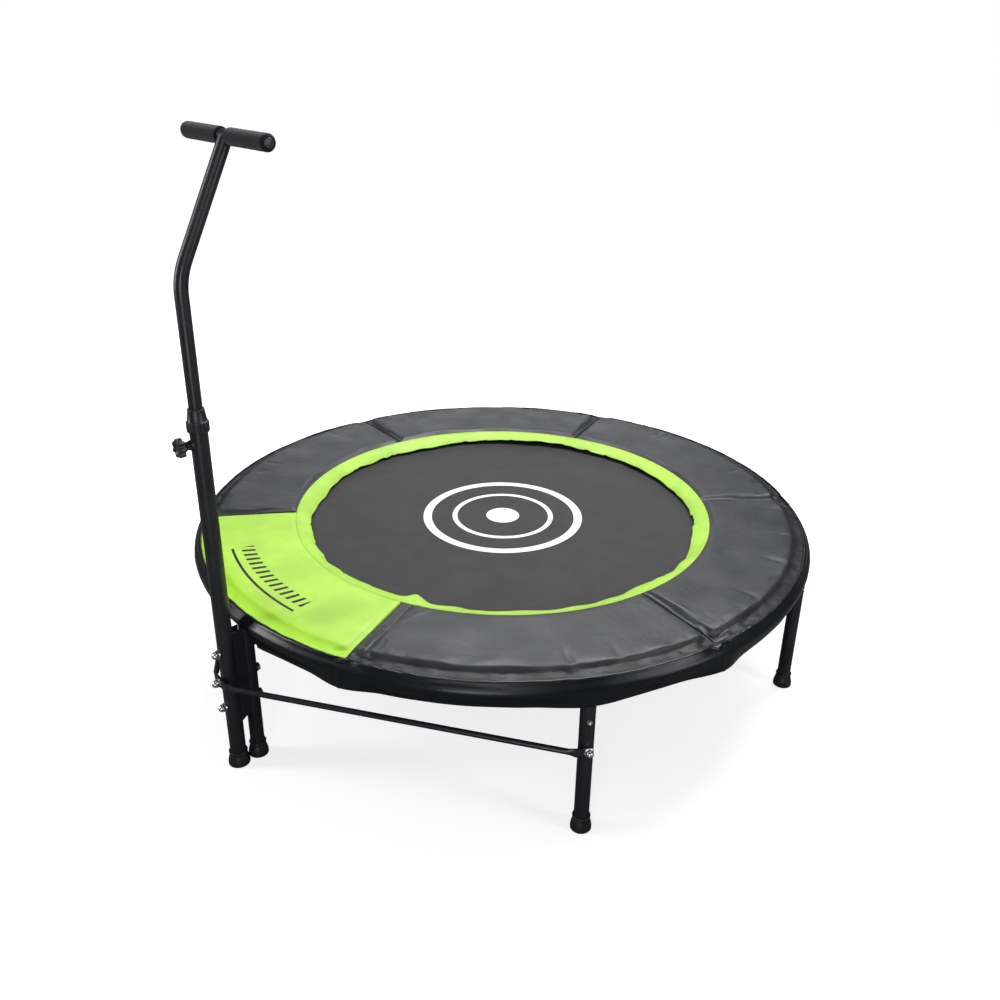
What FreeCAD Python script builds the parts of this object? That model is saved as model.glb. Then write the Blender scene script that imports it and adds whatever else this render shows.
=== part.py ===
import FreeCAD, Part
import math
import os

from FreeCAD import Vector

# A mini trampoline (rebounder) with a T-bar handle. Millimetres, +Z up. The origin is on the floor,
# under the middle of the mat. The handle stands on the -Y side, and its T-bar runs along X.

UP = Vector(0, 0, 1)
ALONG_X = Vector(1, 0, 0)
OUTWARD = Vector(0, -1, 0)  # from the middle towards the handle

# --- Frame ring and legs
RING_RADIUS = 601.0
RING_HEIGHT = 285.0
TUBE_RADIUS = 12.7
TUBE_WALL = 1.5
LEG_COUNT = 6
LEG_ANGLE = 360.0 / LEG_COUNT
HANDLE_ANGLE = -90.0
SPIGOT_LENGTH = 30.0
SLIP = 0.1  # radial clearance of tubes that plug together
STUB_BOTTOM = 200.0
LEG_TOP = 262.0
LEG_SCREW_HEIGHT = 224.0
LEG_SCREW_RADIUS = 3.0
LEG_SCREW_ACCESS_RADIUS = 6.0
LEG_SCREW_LENGTH = 8.0
LEG_SCREW_HEAD = 2.6
LEG_SCREW_HEAD_RADII = (5.2, 3.8)  # at the seat and at the crown
LEG_SCREW_SOCKET_RADIUS = 1.9
LEG_SCREW_SOCKET_DEPTH = 1.6
ANCHOR_ROOT = 3.0  # how far a spring anchor's wires reach into the ring tube's outline

# --- Rubber feet
FOOT_FLOOR = 5.0  # rubber under the tube
FOOT_HEIGHT = 29.0
FOOT_WALL = 1.7
FOOT_FLARE = 5.2
FOOT_EDGE = 1.5  # bevel around the sole
FOOT_FLARE_TOP = 6.0  # height where the flare starts to narrow
FOOT_NECK_LOW = 16.0
FOOT_NECK_TOP = 22.0
FOOT_LIP = 3.0  # height of the rolled lip
FOOT_LIP_PROUD = 0.9
FOOT_LIP_EDGE = 0.5

# --- Handle post, bracket and braces
POST_OFFSET = 39.0  # post axis, outward of the leg's axis
POST_RADIUS = 14.0
POST_WALL = 1.5
POST_TOP = 653.0
BRACKET_BOTTOM = 85.0
BRACKET_TOP = 274.0
BRACKET_SLANT = 26.0  # rise of the lower edge from the post to the leg
BRACKET_HALF_WIDTH = 10.0
BRACKET_RING_GAP = 1.0
SHEET = 2.0
BRACKET_BOLT_HEIGHTS = (128.0, 182.0, 237.0)
BRACE_POST_HEIGHT = BRACKET_BOLT_HEIGHTS[1]
BRACE_LEG_HEIGHT = 170.0
BRACE_ROD_RADIUS = 5.0
BRACE_TAB = 3.0  # thickness of a flattened end
BRACE_TAB_HALF_WIDTH = 8.0
BRACE_TAB_REACH = 20.0
BRACE_FLARE = 16.0  # length over which the round rod flattens

# --- M8 fasteners
BOLT_RADIUS = 4.0
BOLT_HOLE_RADIUS = 4.2
HEX_RADIUS = 7.5  # across corners / 2
HEAD_HEIGHT = 3.5
WASHER_RADIUS = 8.0
WASHER = 1.6
CAP_NUT_HEX = 4.8
CAP_NUT_HEIGHT = 11.0
CAP_NUT_DEPTH = 8.5
CAP_NUT_DOME_INSET = 0.4  # step from the hexagon's flats to the dome
THREAD_GAP = 0.05
BOLT_END_GAP = 1.0  # between a bolt's end and the bottom of its cap nut

# --- Collar and clamp
COLLAR_BOTTOM = 638.0
COLLAR_RIBBED = 18.0
COLLAR_TOP = 675.0
COLLAR_RADIUS = 16.0
COLLAR_RIBS = 18
COLLAR_RIB_RADIUS = 1.3
COLLAR_EDGE = 0.8
COLLAR_SEAT = 0.2  # inner step above the bush's flange
SLEEVE_RADIUS_LOW = 15.0
SLEEVE_RADIUS_TOP = 12.8
RUNNING = 0.1  # radial clearance of parts that turn or slide
BUSH_BOTTOM = 625.0
BUSH_FLANGE = 2.5
BUSH_FLANGE_INSET = 0.3
BUSH_SPLIT = 2.0
CLAMP_HEIGHT = 619.0
CLAMP_BOSS_END = 24.0  # from the post's axis
CLAMP_BOSS_RADIUS = 7.4
CLAMP_BOSS_ROOT = 2.0  # how far the boss reaches into the post's outline before it is trimmed
CLAMP_FLANGE = 2.6
CLAMP_FLANGE_PROUD = 0.8
CLAMP_PAD_THICKNESS = 2.4
CLAMP_PAD_RADIUS = 3.6
KNOB_START = 28.0
KNOB_THICKNESS = 11.0
KNOB_LOBES = 7
KNOB_CORE_RADIUS = 10.4
KNOB_LOBE_CENTRE = 12.0
KNOB_LOBE_RADIUS = 3.6
KNOB_NECK = 3.0
KNOB_NECK_RADIUS = 7.0
KNOB_LOBE_INSET = 1.0
KNOB_DISH = 2.0
KNOB_DISH_RADII = (6.5, 8.5)
KNOB_FACE = 4.0  # plastic over the screw's end

# --- Handle
STEM_RADIUS = 10.5
STEM_BOTTOM = 403.0
STEM_BEND_HEIGHT = 872.0
STEM_BEND_RADIUS = 110.0
STEM_LEAN = 27.0  # degrees, inwards
STEM_CUP_FLOOR = 4.0
STEM_CUP_OVERLAP = 22.0
BAR_HEIGHT = 1057.0
BAR_RADIUS = 9.0
BAR_HALF_LENGTH = 113.0
GRIP_RADIUS = 12.5
GRIP_START = 12.0
GRIP_END = 116.0
GRIP_ROUNDING = 5.0
GRIP_INNER_EDGE = 1.5
PLUG_LENGTH = 12.0
PLUG_DOME = 0.9

# --- Mat and springs
MAT_HEIGHT = 286.5
MAT_RADIUS = 455.0
MAT_THICKNESS = 1.4
HEM_INNER = 446.0
HEM_OUTER = 470.0
HEM_THICKNESS = 4.4
HEM_GAP = 0.1  # between the mat and the folded webbing
SPRING_COUNT = 36
RING_BAR_INNER = 463.0
RING_BAR_OUTER = 485.0
RING_BAR_HALF = 8.0
RING_WIRE = 1.4
ANCHOR_RADIUS = 578.0
ANCHOR_HALF = 7.0
ANCHOR_WIRE = 2.0
SPRING_RADIUS = 6.5
SPRING_WIRE = 1.0
HOOK_RADIUS = 4.4
HOOK_NECK = 4.0

# --- Pad
PAD_INNER = 419.0
PAD_OUTER = 601.0
PAD_BASE = 299.0
PAD_SHEET = 1.0
PAD_SEAM_HEIGHT = 303.5
PAD_CROWN_HEIGHT = 314.5
PAD_INNER_HEIGHT = 308.5
PAD_SECTIONS = 6
PAD_FIRST_SEAM = -127.4
PAD_SEAM_GAP = 0.25  # degrees
FOAM_GAP = 0.2
BACKING_GAP = 0.05  # between the cover's open edge and the backing
TRIM_INNER = 392.0
TRIM_INNER_HEIGHT = 290.0
TRIM_SHEET = 1.2
TRIM_SHOULDER = 9.0  # width of the level part beside the pad
TRIM_SHOULDER_DROP = 4.8
SKIRT_GAP = 0.9
SKIRT_SHEET = 1.2
SKIRT_BOTTOM = 259.0
SKIRT_SHOULDER = 12.0  # height of the slope under the seam
SKIRT_NOTCH_HALF_BOTTOM = 54.0
SKIRT_NOTCH_HALF_TOP = 41.0
SKIRT_NOTCH_TOP = 289.0
TIE_COUNT = 6
TIE_WIDTH = 25.0
TIE_SHEET = 1.0
TIE_GAP = 0.4
TIE_START = 10.0  # degrees past the middle between two legs

POST_DISTANCE = RING_RADIUS + POST_OFFSET
LEG_ANGLES = [HANDLE_ANGLE + LEG_ANGLE * number for number in range(LEG_COUNT)]
LEG_NAMES = ["front", "front_right", "back_right", "back", "back_left", "front_left"]


# ---------------------------------------------------------------- helpers

def rod(radius, start, end):
    """Solid round bar between two points."""
    along = end - start
    return Part.makeCylinder(radius, along.Length, start, along)


def tube(outer, inner, start, end):
    return rod(outer, start, end).cut(rod(inner, start, end))


def plate(corners, thickness):
    """Flat plate from its corners, in order, and a vector for its thickness."""
    return Part.Face(Part.makePolygon(corners + corners[:1])).extrude(thickness)


def hexagon(radius, start, end):
    """Hexagonal bar between two points at the same height, one corner up."""
    along = end - start
    cross = along.cross(UP).normalize()
    corners = []
    for number in range(6):
        angle = math.radians(60 * number)
        corners.append(start + UP * (radius * math.cos(angle)) + cross * (radius * math.sin(angle)))
    return plate(corners, along)


def turned(shape, degrees):
    """Copy of a shape turned about the vertical line through the origin."""
    copy = shape.copy()
    copy.rotate(Vector(0, 0, 0), UP, degrees)
    return copy


def fused(shapes):
    return shapes[0].multiFuse(shapes[1:]).removeSplitter()


def revolved(points, degrees=360.0):
    """Solid of revolution about Z, from a closed outline of (radius, height) in the XZ plane."""
    corners = [Vector(r, 0, z) for r, z in points]
    face = Part.Face(Part.makePolygon(corners + corners[:1]))
    return face.revolve(Vector(0, 0, 0), UP, degrees)


def ring_tube(outer, inner, start, degrees):
    """Curved tube along the frame ring, from an angle, over some degrees."""
    centre = Vector(RING_RADIUS, 0, RING_HEIGHT)
    face = Part.Face(Part.Wire(Part.makeCircle(outer, centre, Vector(0, 1, 0))))
    solid = face.revolve(Vector(0, 0, 0), UP, degrees)
    if inner > 0:
        bore = Part.Face(Part.Wire(Part.makeCircle(inner, centre, Vector(0, 1, 0))))
        solid = solid.cut(bore.revolve(Vector(0, 0, 0), UP, degrees))
    return turned(solid, start)


def on_handle_leg(distance, height):
    """Point in the plane of the handle, at a distance from the middle."""
    return Vector(0, -distance, height)


def towards_handle(shape):
    """Copy of a shape built on the +X side, turned to the handle's side."""
    return turned(shape, HANDLE_ANGLE)


def save(name, shape):
    shape = Part.makeCompound(shape) if isinstance(shape, list) else shape
    shape.exportStep(f"parts/{name}.step")


# ---------------------------------------------------------------- frame

def leg_stub(handle_leg):
    """Tube welded under the ring that the leg slides over, with the hole for its screw."""
    radius = TUBE_RADIUS - TUBE_WALL - SLIP
    bottom = Vector(RING_RADIUS, 0, STUB_BOTTOM)
    top = Vector(RING_RADIUS, 0, RING_HEIGHT)
    stub = tube(radius, radius - TUBE_WALL, bottom, top)
    stub = stub.cut(ring_tube(TUBE_RADIUS, 0, -LEG_ANGLE / 4, LEG_ANGLE / 2))
    if handle_leg:
        height = BRACKET_BOLT_HEIGHTS[2]
        inside = Vector(RING_RADIUS - TUBE_RADIUS, 0, height)
        outside = Vector(RING_RADIUS + TUBE_RADIUS, 0, height)
        hole = rod(BOLT_HOLE_RADIUS, inside, outside)
    else:
        hole = rod(
            LEG_SCREW_RADIUS,
            Vector(RING_RADIUS, 0, LEG_SCREW_HEIGHT),
            Vector(RING_RADIUS + TUBE_RADIUS, 0, LEG_SCREW_HEIGHT),
        )
    return stub.cut(hole)


def frame_arc(handle_leg):
    """One sixth of the ring, centred on its leg, with a spigot that plugs into the next arc."""
    bore = TUBE_RADIUS - TUBE_WALL
    spigot_angle = math.degrees(SPIGOT_LENGTH / RING_RADIUS)
    end = LEG_ANGLE / 2
    arc = ring_tube(TUBE_RADIUS, bore, -end, LEG_ANGLE)
    rooted = ring_tube(bore, bore - TUBE_WALL, end - spigot_angle, spigot_angle)
    spigot = ring_tube(bore - SLIP, bore - TUBE_WALL, end, spigot_angle)
    return fused([arc, rooted, spigot, leg_stub(handle_leg)])


def spring_anchor():
    """Wire staple welded to the inside of the ring."""
    far = RING_RADIUS - TUBE_RADIUS + ANCHOR_ROOT
    corners = [Vector(ANCHOR_RADIUS, side * ANCHOR_HALF, MAT_HEIGHT) for side in (-1, 1)]
    arms = [rod(ANCHOR_WIRE, corner, Vector(far, corner.y, MAT_HEIGHT)) for corner in corners]
    bends = [Part.makeSphere(ANCHOR_WIRE, corner) for corner in corners]
    staple = fused(arms + bends + [rod(ANCHOR_WIRE, corners[0], corners[1])])
    return staple.cut(ring_tube(TUBE_RADIUS, 0, -LEG_ANGLE / 4, LEG_ANGLE / 2))


def leg(bolt_heights, has_screw):
    """Leg tube on the +X side, with through holes for bolts and an access hole for its screw."""
    shape = tube(
        TUBE_RADIUS,
        TUBE_RADIUS - TUBE_WALL,
        Vector(RING_RADIUS, 0, FOOT_FLOOR),
        Vector(RING_RADIUS, 0, LEG_TOP),
    )
    for height in bolt_heights:
        inside = Vector(RING_RADIUS - 2 * TUBE_RADIUS, 0, height)
        outside = Vector(RING_RADIUS + 2 * TUBE_RADIUS, 0, height)
        shape = shape.cut(rod(BOLT_HOLE_RADIUS, inside, outside))
    if has_screw:
        inside = Vector(RING_RADIUS, 0, LEG_SCREW_HEIGHT)
        outside = Vector(RING_RADIUS + 2 * TUBE_RADIUS, 0, LEG_SCREW_HEIGHT)
        shape = shape.cut(rod(LEG_SCREW_ACCESS_RADIUS, inside, outside))
    return shape


def leg_screw():
    """Button-head screw that sits in the leg's access hole and holds the leg to its stub."""
    stub_face = RING_RADIUS + TUBE_RADIUS - TUBE_WALL - SLIP
    tip = Vector(stub_face - LEG_SCREW_LENGTH, 0, LEG_SCREW_HEIGHT)
    seat = Vector(stub_face, 0, LEG_SCREW_HEIGHT)
    crown = Vector(stub_face + LEG_SCREW_HEAD, 0, LEG_SCREW_HEIGHT)
    head = Part.makeCone(*LEG_SCREW_HEAD_RADII, LEG_SCREW_HEAD, seat, ALONG_X)
    socket = hexagon(LEG_SCREW_SOCKET_RADIUS, crown - ALONG_X * LEG_SCREW_SOCKET_DEPTH, crown)
    return fused([rod(LEG_SCREW_RADIUS, tip, seat), head]).cut(socket)


def foot(tube_radius, distance):
    """Rubber cap under a tube: a rolled lip, a slim neck and a flared base."""
    neck = tube_radius + FOOT_WALL
    lip = neck + FOOT_LIP_PROUD
    flare = tube_radius + FOOT_FLARE
    outline = [
        (0, 0),
        (flare - FOOT_EDGE, 0),
        (flare, FOOT_EDGE),
        (flare, FOOT_FLARE_TOP),
        (lip, FOOT_NECK_LOW),
        (neck, FOOT_NECK_TOP),
        (neck, FOOT_HEIGHT - FOOT_LIP),
        (lip, FOOT_HEIGHT - FOOT_LIP + FOOT_LIP_EDGE),
        (lip, FOOT_HEIGHT - FOOT_LIP_EDGE),
        (lip - FOOT_LIP_EDGE, FOOT_HEIGHT),
        (tube_radius, FOOT_HEIGHT),
        (tube_radius, FOOT_FLOOR),
        (0, FOOT_FLOOR),
    ]
    shape = revolved(outline)
    shape.translate(Vector(distance, 0, 0))
    return shape


# ---------------------------------------------------------------- bolted joints

def bolt(head_face, end, height, radius=BOLT_RADIUS):
    """Hex bolt along the +X radial direction, its head towards the middle."""
    start = Vector(head_face, 0, height)
    head = hexagon(HEX_RADIUS, start - ALONG_X * HEAD_HEIGHT, start)
    return fused([head, rod(radius, start, Vector(end, 0, height))])


def cap_nut(face, height):
    """Domed nut whose flat side rests at a distance from the middle, on the +X side."""
    start = Vector(face, 0, height)
    hex_end = start + ALONG_X * CAP_NUT_HEX
    dome_radius = HEX_RADIUS * math.cos(math.radians(30)) - CAP_NUT_DOME_INSET
    stretch = (CAP_NUT_HEIGHT - CAP_NUT_HEX) - dome_radius
    body = hexagon(HEX_RADIUS, start, hex_end)
    neck = rod(dome_radius, hex_end - ALONG_X, hex_end + ALONG_X * max(stretch, 0.01))
    dome = Part.makeSphere(dome_radius, hex_end + ALONG_X * stretch)
    keep = Part.makeBox(CAP_NUT_HEIGHT, 40, 40, start - Vector(0, 20, 20))
    thread = rod(BOLT_RADIUS + THREAD_GAP, start, start + ALONG_X * CAP_NUT_DEPTH)
    return fused([body, neck, dome.common(keep)]).cut(thread)


def washer(face, height):
    """Flat washer whose near side rests at a distance from the middle, on the +X side."""
    start = Vector(face, 0, height)
    return tube(WASHER_RADIUS, BOLT_HOLE_RADIUS, start, start + ALONG_X * WASHER)


def bracket_joints():
    """Bolts, cap nuts and washers through leg, bracket and post."""
    inner_face = RING_RADIUS - TUBE_RADIUS - WASHER
    post_face = POST_DISTANCE + POST_RADIUS
    bolts, nuts, washers = [], [], []
    for height in BRACKET_BOLT_HEIGHTS:
        tabs = 2 * BRACE_TAB if height == BRACE_POST_HEIGHT else 0.0
        nut_face = post_face + tabs + WASHER
        bolts.append(bolt(inner_face, nut_face + CAP_NUT_DEPTH - BOLT_END_GAP, height))
        nuts.append(cap_nut(nut_face, height))
        washers.append(washer(inner_face, height))
        washers.append(washer(nut_face - WASHER, height))
    return [[towards_handle(s) for s in shapes] for shapes in (bolts, nuts, washers)]


def brace_joints():
    """Bolts, cap nuts and washers that hold the braces to the legs beside the handle."""
    head_face = RING_RADIUS - TUBE_RADIUS - WASHER
    nut_face = RING_RADIUS + TUBE_RADIUS + BRACE_TAB + WASHER
    bolts, nuts, washers = [], [], []
    bolt_end = nut_face + CAP_NUT_DEPTH - BOLT_END_GAP
    for side in (-1, 1):
        angle = HANDLE_ANGLE + side * LEG_ANGLE
        bolts.append(turned(bolt(head_face, bolt_end, BRACE_LEG_HEIGHT), angle))
        nuts.append(turned(cap_nut(nut_face, BRACE_LEG_HEIGHT), angle))
        washers.append(turned(washer(head_face, BRACE_LEG_HEIGHT), angle))
        washers.append(turned(washer(nut_face - WASHER, BRACE_LEG_HEIGHT), angle))
    return bolts, nuts, washers


# ---------------------------------------------------------------- handle post

def post_tube():
    axis_low = on_handle_leg(POST_DISTANCE, FOOT_FLOOR)
    axis_top = on_handle_leg(POST_DISTANCE, POST_TOP)
    post = tube(POST_RADIUS, POST_RADIUS - POST_WALL, axis_low, axis_top)
    for height in BRACKET_BOLT_HEIGHTS:
        through = rod(
            BOLT_HOLE_RADIUS,
            on_handle_leg(POST_DISTANCE - 2 * POST_RADIUS, height),
            on_handle_leg(POST_DISTANCE + 2 * POST_RADIUS, height),
        )
        post = post.cut(through)
    clamp_hole = rod(
        BOLT_HOLE_RADIUS,
        on_handle_leg(POST_DISTANCE, CLAMP_HEIGHT),
        on_handle_leg(POST_DISTANCE + 2 * POST_RADIUS, CLAMP_HEIGHT),
    )
    return post.cut(clamp_hole)


def post_bracket():
    """Pressed channel between leg and post: two cheeks and a web, its lower edge rising towards the leg."""
    cheek = [
        on_handle_leg(RING_RADIUS, BRACKET_BOTTOM + BRACKET_SLANT),
        on_handle_leg(RING_RADIUS, BRACKET_TOP),
        on_handle_leg(POST_DISTANCE, BRACKET_TOP),
        on_handle_leg(POST_DISTANCE, BRACKET_BOTTOM),
    ]
    block = plate(cheek, ALONG_X * (2 * BRACKET_HALF_WIDTH))
    block.translate(ALONG_X * -BRACKET_HALF_WIDTH)
    hollow = Part.makeBox(
        2 * (BRACKET_HALF_WIDTH - SHEET),
        POST_OFFSET + 2.0,
        BRACKET_TOP - BRACKET_BOTTOM + 2.0,
        Vector(-(BRACKET_HALF_WIDTH - SHEET), -POST_DISTANCE - 1.0, BRACKET_BOTTOM - 1.0),
    )
    web_distance = POST_DISTANCE - POST_RADIUS - SHEET
    web = Part.makeBox(
        2 * BRACKET_HALF_WIDTH - SHEET,
        SHEET,
        BRACKET_TOP - BRACKET_BOTTOM - 2 * BRACKET_SLANT,
        Vector(-BRACKET_HALF_WIDTH + SHEET / 2, -web_distance - SHEET, BRACKET_BOTTOM + BRACKET_SLANT),
    )
    shape = fused([block.cut(hollow), web])
    axis_low = on_handle_leg(RING_RADIUS, 0)
    shape = shape.cut(rod(TUBE_RADIUS, axis_low, axis_low + UP * POST_TOP))
    ring = towards_handle(ring_tube(TUBE_RADIUS + BRACKET_RING_GAP, 0, -LEG_ANGLE / 4, LEG_ANGLE / 2))
    shape = shape.cut(ring)
    post_low = on_handle_leg(POST_DISTANCE, 0)
    shape = shape.cut(rod(POST_RADIUS, post_low, post_low + UP * POST_TOP))
    for height in BRACKET_BOLT_HEIGHTS:
        through = rod(
            BOLT_HOLE_RADIUS,
            on_handle_leg(RING_RADIUS, height),
            on_handle_leg(POST_DISTANCE, height),
        )
        shape = shape.cut(through)
    return shape


def brace_tab(centre, normal, along):
    """Flattened end: a round-nosed plate with a bolt hole. Its middle plane passes through centre."""
    side = normal.cross(along).normalize()
    half = BRACE_TAB_HALF_WIDTH
    back = centre - normal * (BRACE_TAB / 2)
    nose = rod(half, back, back + normal * BRACE_TAB)
    corners = [
        back + side * half,
        back + side * half + along * BRACE_TAB_REACH,
        back - side * half + along * BRACE_TAB_REACH,
        back - side * half,
    ]
    hole = rod(BOLT_HOLE_RADIUS, back - normal, back + normal * (BRACE_TAB + 1.0))
    return fused([nose, plate(corners, normal * BRACE_TAB)]).cut(hole)


def brace_flare(tab_end, tab_normal, tab_along, rod_start, rod_along):
    """The stretch where the flattened end becomes the round rod."""
    side = tab_normal.cross(tab_along).normalize()
    half_wide = side * BRACE_TAB_HALF_WIDTH
    half_thick = tab_normal * (BRACE_TAB / 2)
    corners = [
        tab_end + half_wide + half_thick,
        tab_end - half_wide + half_thick,
        tab_end - half_wide - half_thick,
        tab_end + half_wide - half_thick,
    ]
    flat = Part.makePolygon(corners + corners[:1])
    circle = Part.Wire(Part.makeCircle(BRACE_ROD_RADIUS, rod_start, rod_along))
    return Part.makeLoft([flat, circle], True)


def brace(side, tab_layer):
    """Rod from the post's middle bolt to the next leg. Side is +1 for the right, -1 for the left."""
    post_face = POST_DISTANCE + POST_RADIUS
    post_tab = Vector(0, -(post_face + BRACE_TAB * (tab_layer + 0.5)), BRACE_POST_HEIGHT)
    post_along = ALONG_X * side
    leg_angle = math.radians(HANDLE_ANGLE + side * LEG_ANGLE)
    leg_out = Vector(math.cos(leg_angle), math.sin(leg_angle), 0)
    leg_along = Vector(-side * -leg_out.y, -side * leg_out.x, 0)
    leg_tab = leg_out * (RING_RADIUS + TUBE_RADIUS + BRACE_TAB / 2) + UP * BRACE_LEG_HEIGHT
    tab_end_a = post_tab + post_along * BRACE_TAB_REACH
    tab_end_b = leg_tab + leg_along * BRACE_TAB_REACH
    along = (tab_end_b - tab_end_a).normalize()
    rod_a = tab_end_a + along * BRACE_FLARE
    rod_b = tab_end_b - along * BRACE_FLARE
    return fused(
        [
            brace_tab(post_tab, OUTWARD, post_along),
            brace_flare(tab_end_a, OUTWARD, post_along, rod_a, along),
            rod(BRACE_ROD_RADIUS, rod_a, rod_b),
            brace_flare(tab_end_b, leg_out, leg_along, rod_b, along),
            brace_tab(leg_tab, leg_out, leg_along),
        ]
    )


# ---------------------------------------------------------------- collar and clamp

def at_post(shape):
    """Moves a shape built around the Z axis onto the post's axis."""
    shape.translate(Vector(0, -POST_DISTANCE, 0))
    return shape


def collar_nut():
    """Ribbed plastic ring around the post's top, with a tapered sleeve around the stem."""
    ribbed_top = COLLAR_BOTTOM + COLLAR_RIBBED
    outline = [
        (POST_RADIUS + RUNNING, COLLAR_BOTTOM),
        (COLLAR_RADIUS - COLLAR_EDGE, COLLAR_BOTTOM),
        (COLLAR_RADIUS, COLLAR_BOTTOM + COLLAR_EDGE),
        (COLLAR_RADIUS, ribbed_top - COLLAR_EDGE),
        (COLLAR_RADIUS - COLLAR_EDGE, ribbed_top),
        (SLEEVE_RADIUS_LOW, ribbed_top),
        (SLEEVE_RADIUS_TOP, COLLAR_TOP - COLLAR_EDGE),
        (SLEEVE_RADIUS_TOP - COLLAR_EDGE, COLLAR_TOP),
        (STEM_RADIUS + 3 * RUNNING, COLLAR_TOP),
        (STEM_RADIUS + 3 * RUNNING, ribbed_top + 1.0),
        (POST_RADIUS + RUNNING, ribbed_top + COLLAR_SEAT),
    ]
    rib = rod(
        COLLAR_RIB_RADIUS,
        Vector(COLLAR_RADIUS, 0, COLLAR_BOTTOM + 1.0),
        Vector(COLLAR_RADIUS, 0, ribbed_top - 1.0),
    ).cut(rod(COLLAR_RADIUS - 0.6, Vector(0, 0, COLLAR_BOTTOM), Vector(0, 0, ribbed_top)))
    ribs = [turned(rib, 360.0 * number / COLLAR_RIBS) for number in range(COLLAR_RIBS)]
    return at_post(fused([revolved(outline)] + ribs))


def stem_bush():
    """Flanged plastic sleeve in the post's mouth that guides the stem, split down one side."""
    bore = STEM_RADIUS + RUNNING
    outer = POST_RADIUS - POST_WALL - RUNNING
    outline = [
        (bore, BUSH_BOTTOM),
        (outer, BUSH_BOTTOM),
        (outer, POST_TOP + RUNNING),
        (POST_RADIUS - BUSH_FLANGE_INSET, POST_TOP + RUNNING),
        (POST_RADIUS - BUSH_FLANGE_INSET, POST_TOP + BUSH_FLANGE),
        (bore, POST_TOP + BUSH_FLANGE),
    ]
    split_low = Vector(-BUSH_SPLIT / 2, 0, BUSH_BOTTOM - 1.0)
    split = Part.makeBox(BUSH_SPLIT, 2 * POST_RADIUS, 2 * (POST_TOP - BUSH_BOTTOM), split_low)
    return at_post(revolved(outline).cut(split))


def clamp_axis(distance):
    """Point on the clamp screw's axis, at a distance outward from the post's axis."""
    return on_handle_leg(POST_DISTANCE + distance, CLAMP_HEIGHT)


def clamp_boss():
    """Threaded hex boss welded to the post."""
    root = clamp_axis(POST_RADIUS - CLAMP_BOSS_ROOT)
    boss = hexagon(CLAMP_BOSS_RADIUS, root, clamp_axis(CLAMP_BOSS_END))
    flange_radius = CLAMP_BOSS_RADIUS + CLAMP_FLANGE_PROUD
    flange = rod(flange_radius, root, clamp_axis(POST_RADIUS + CLAMP_FLANGE))
    post_low = on_handle_leg(POST_DISTANCE, 0)
    bore = rod(BOLT_RADIUS + RUNNING / 2, clamp_axis(0), clamp_axis(CLAMP_BOSS_END + 1.0))
    return fused([boss, flange]).cut(rod(POST_RADIUS, post_low, post_low + UP * POST_TOP)).cut(bore)


def clamp_pad():
    """Pressure pad between the screw's tip and the stem."""
    start = STEM_RADIUS + RUNNING / 2
    return rod(CLAMP_PAD_RADIUS, clamp_axis(start), clamp_axis(start + CLAMP_PAD_THICKNESS))


def clamp_screw():
    start = STEM_RADIUS + RUNNING / 2 + CLAMP_PAD_THICKNESS + RUNNING / 2
    return rod(BOLT_RADIUS, clamp_axis(start), clamp_axis(KNOB_START + KNOB_THICKNESS - KNOB_FACE))


def clamp_knob():
    """Star knob with round lobes, a neck towards the post and a dished face."""
    end = KNOB_START + KNOB_THICKNESS
    shapes = [
        rod(KNOB_CORE_RADIUS, clamp_axis(KNOB_START), clamp_axis(end)),
        rod(KNOB_NECK_RADIUS, clamp_axis(KNOB_START - KNOB_NECK), clamp_axis(KNOB_START)),
    ]
    for number in range(KNOB_LOBES):
        angle = math.radians(360.0 * number / KNOB_LOBES)
        offset = Vector(math.cos(angle), 0, math.sin(angle)) * KNOB_LOBE_CENTRE
        lobe_start = clamp_axis(KNOB_START + KNOB_LOBE_INSET) + offset
        shapes.append(rod(KNOB_LOBE_RADIUS, lobe_start, clamp_axis(end - KNOB_LOBE_INSET) + offset))
    knob = fused(shapes)
    dish = Part.makeCone(*KNOB_DISH_RADII, KNOB_DISH, clamp_axis(end - KNOB_DISH), OUTWARD)
    screw_hole = rod(BOLT_RADIUS, clamp_axis(0), clamp_axis(end - KNOB_FACE))
    return knob.cut(dish).cut(screw_hole)


# ---------------------------------------------------------------- handle

def bar_centre():
    """Middle of the T-bar: the stem leans inwards from its bend."""
    rise = BAR_HEIGHT - STEM_BEND_HEIGHT
    return on_handle_leg(POST_DISTANCE - rise * math.tan(math.radians(STEM_LEAN)), BAR_HEIGHT)


def stem_path(radius):
    """Solid round bar along the stem's path: straight, a bend, then leaning inwards."""
    lean = math.radians(STEM_LEAN)
    setback = STEM_BEND_RADIUS * math.tan(lean / 2)
    bend_start = on_handle_leg(POST_DISTANCE, STEM_BEND_HEIGHT - setback)
    lean_direction = Vector(0, math.sin(lean), math.cos(lean))
    bend_end = on_handle_leg(POST_DISTANCE, STEM_BEND_HEIGHT) + lean_direction * setback
    centre = bend_start + Vector(0, STEM_BEND_RADIUS, 0)
    section = Part.Face(Part.Wire(Part.makeCircle(radius, bend_start, UP)))
    bend = section.revolve(centre, Vector(-1, 0, 0), STEM_LEAN)
    lower = rod(radius, on_handle_leg(POST_DISTANCE, STEM_BOTTOM), bend_start)
    upper = rod(radius, bend_end, bar_centre() - lean_direction * 2.0)
    return fused([lower, bend, upper])


def handle_stem():
    stem = stem_path(STEM_RADIUS).cut(stem_path(STEM_RADIUS - TUBE_WALL))
    reach = ALONG_X * BAR_HALF_LENGTH
    bar = rod(BAR_RADIUS, bar_centre() - reach, bar_centre() + reach)
    return stem.cut(bar)


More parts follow.
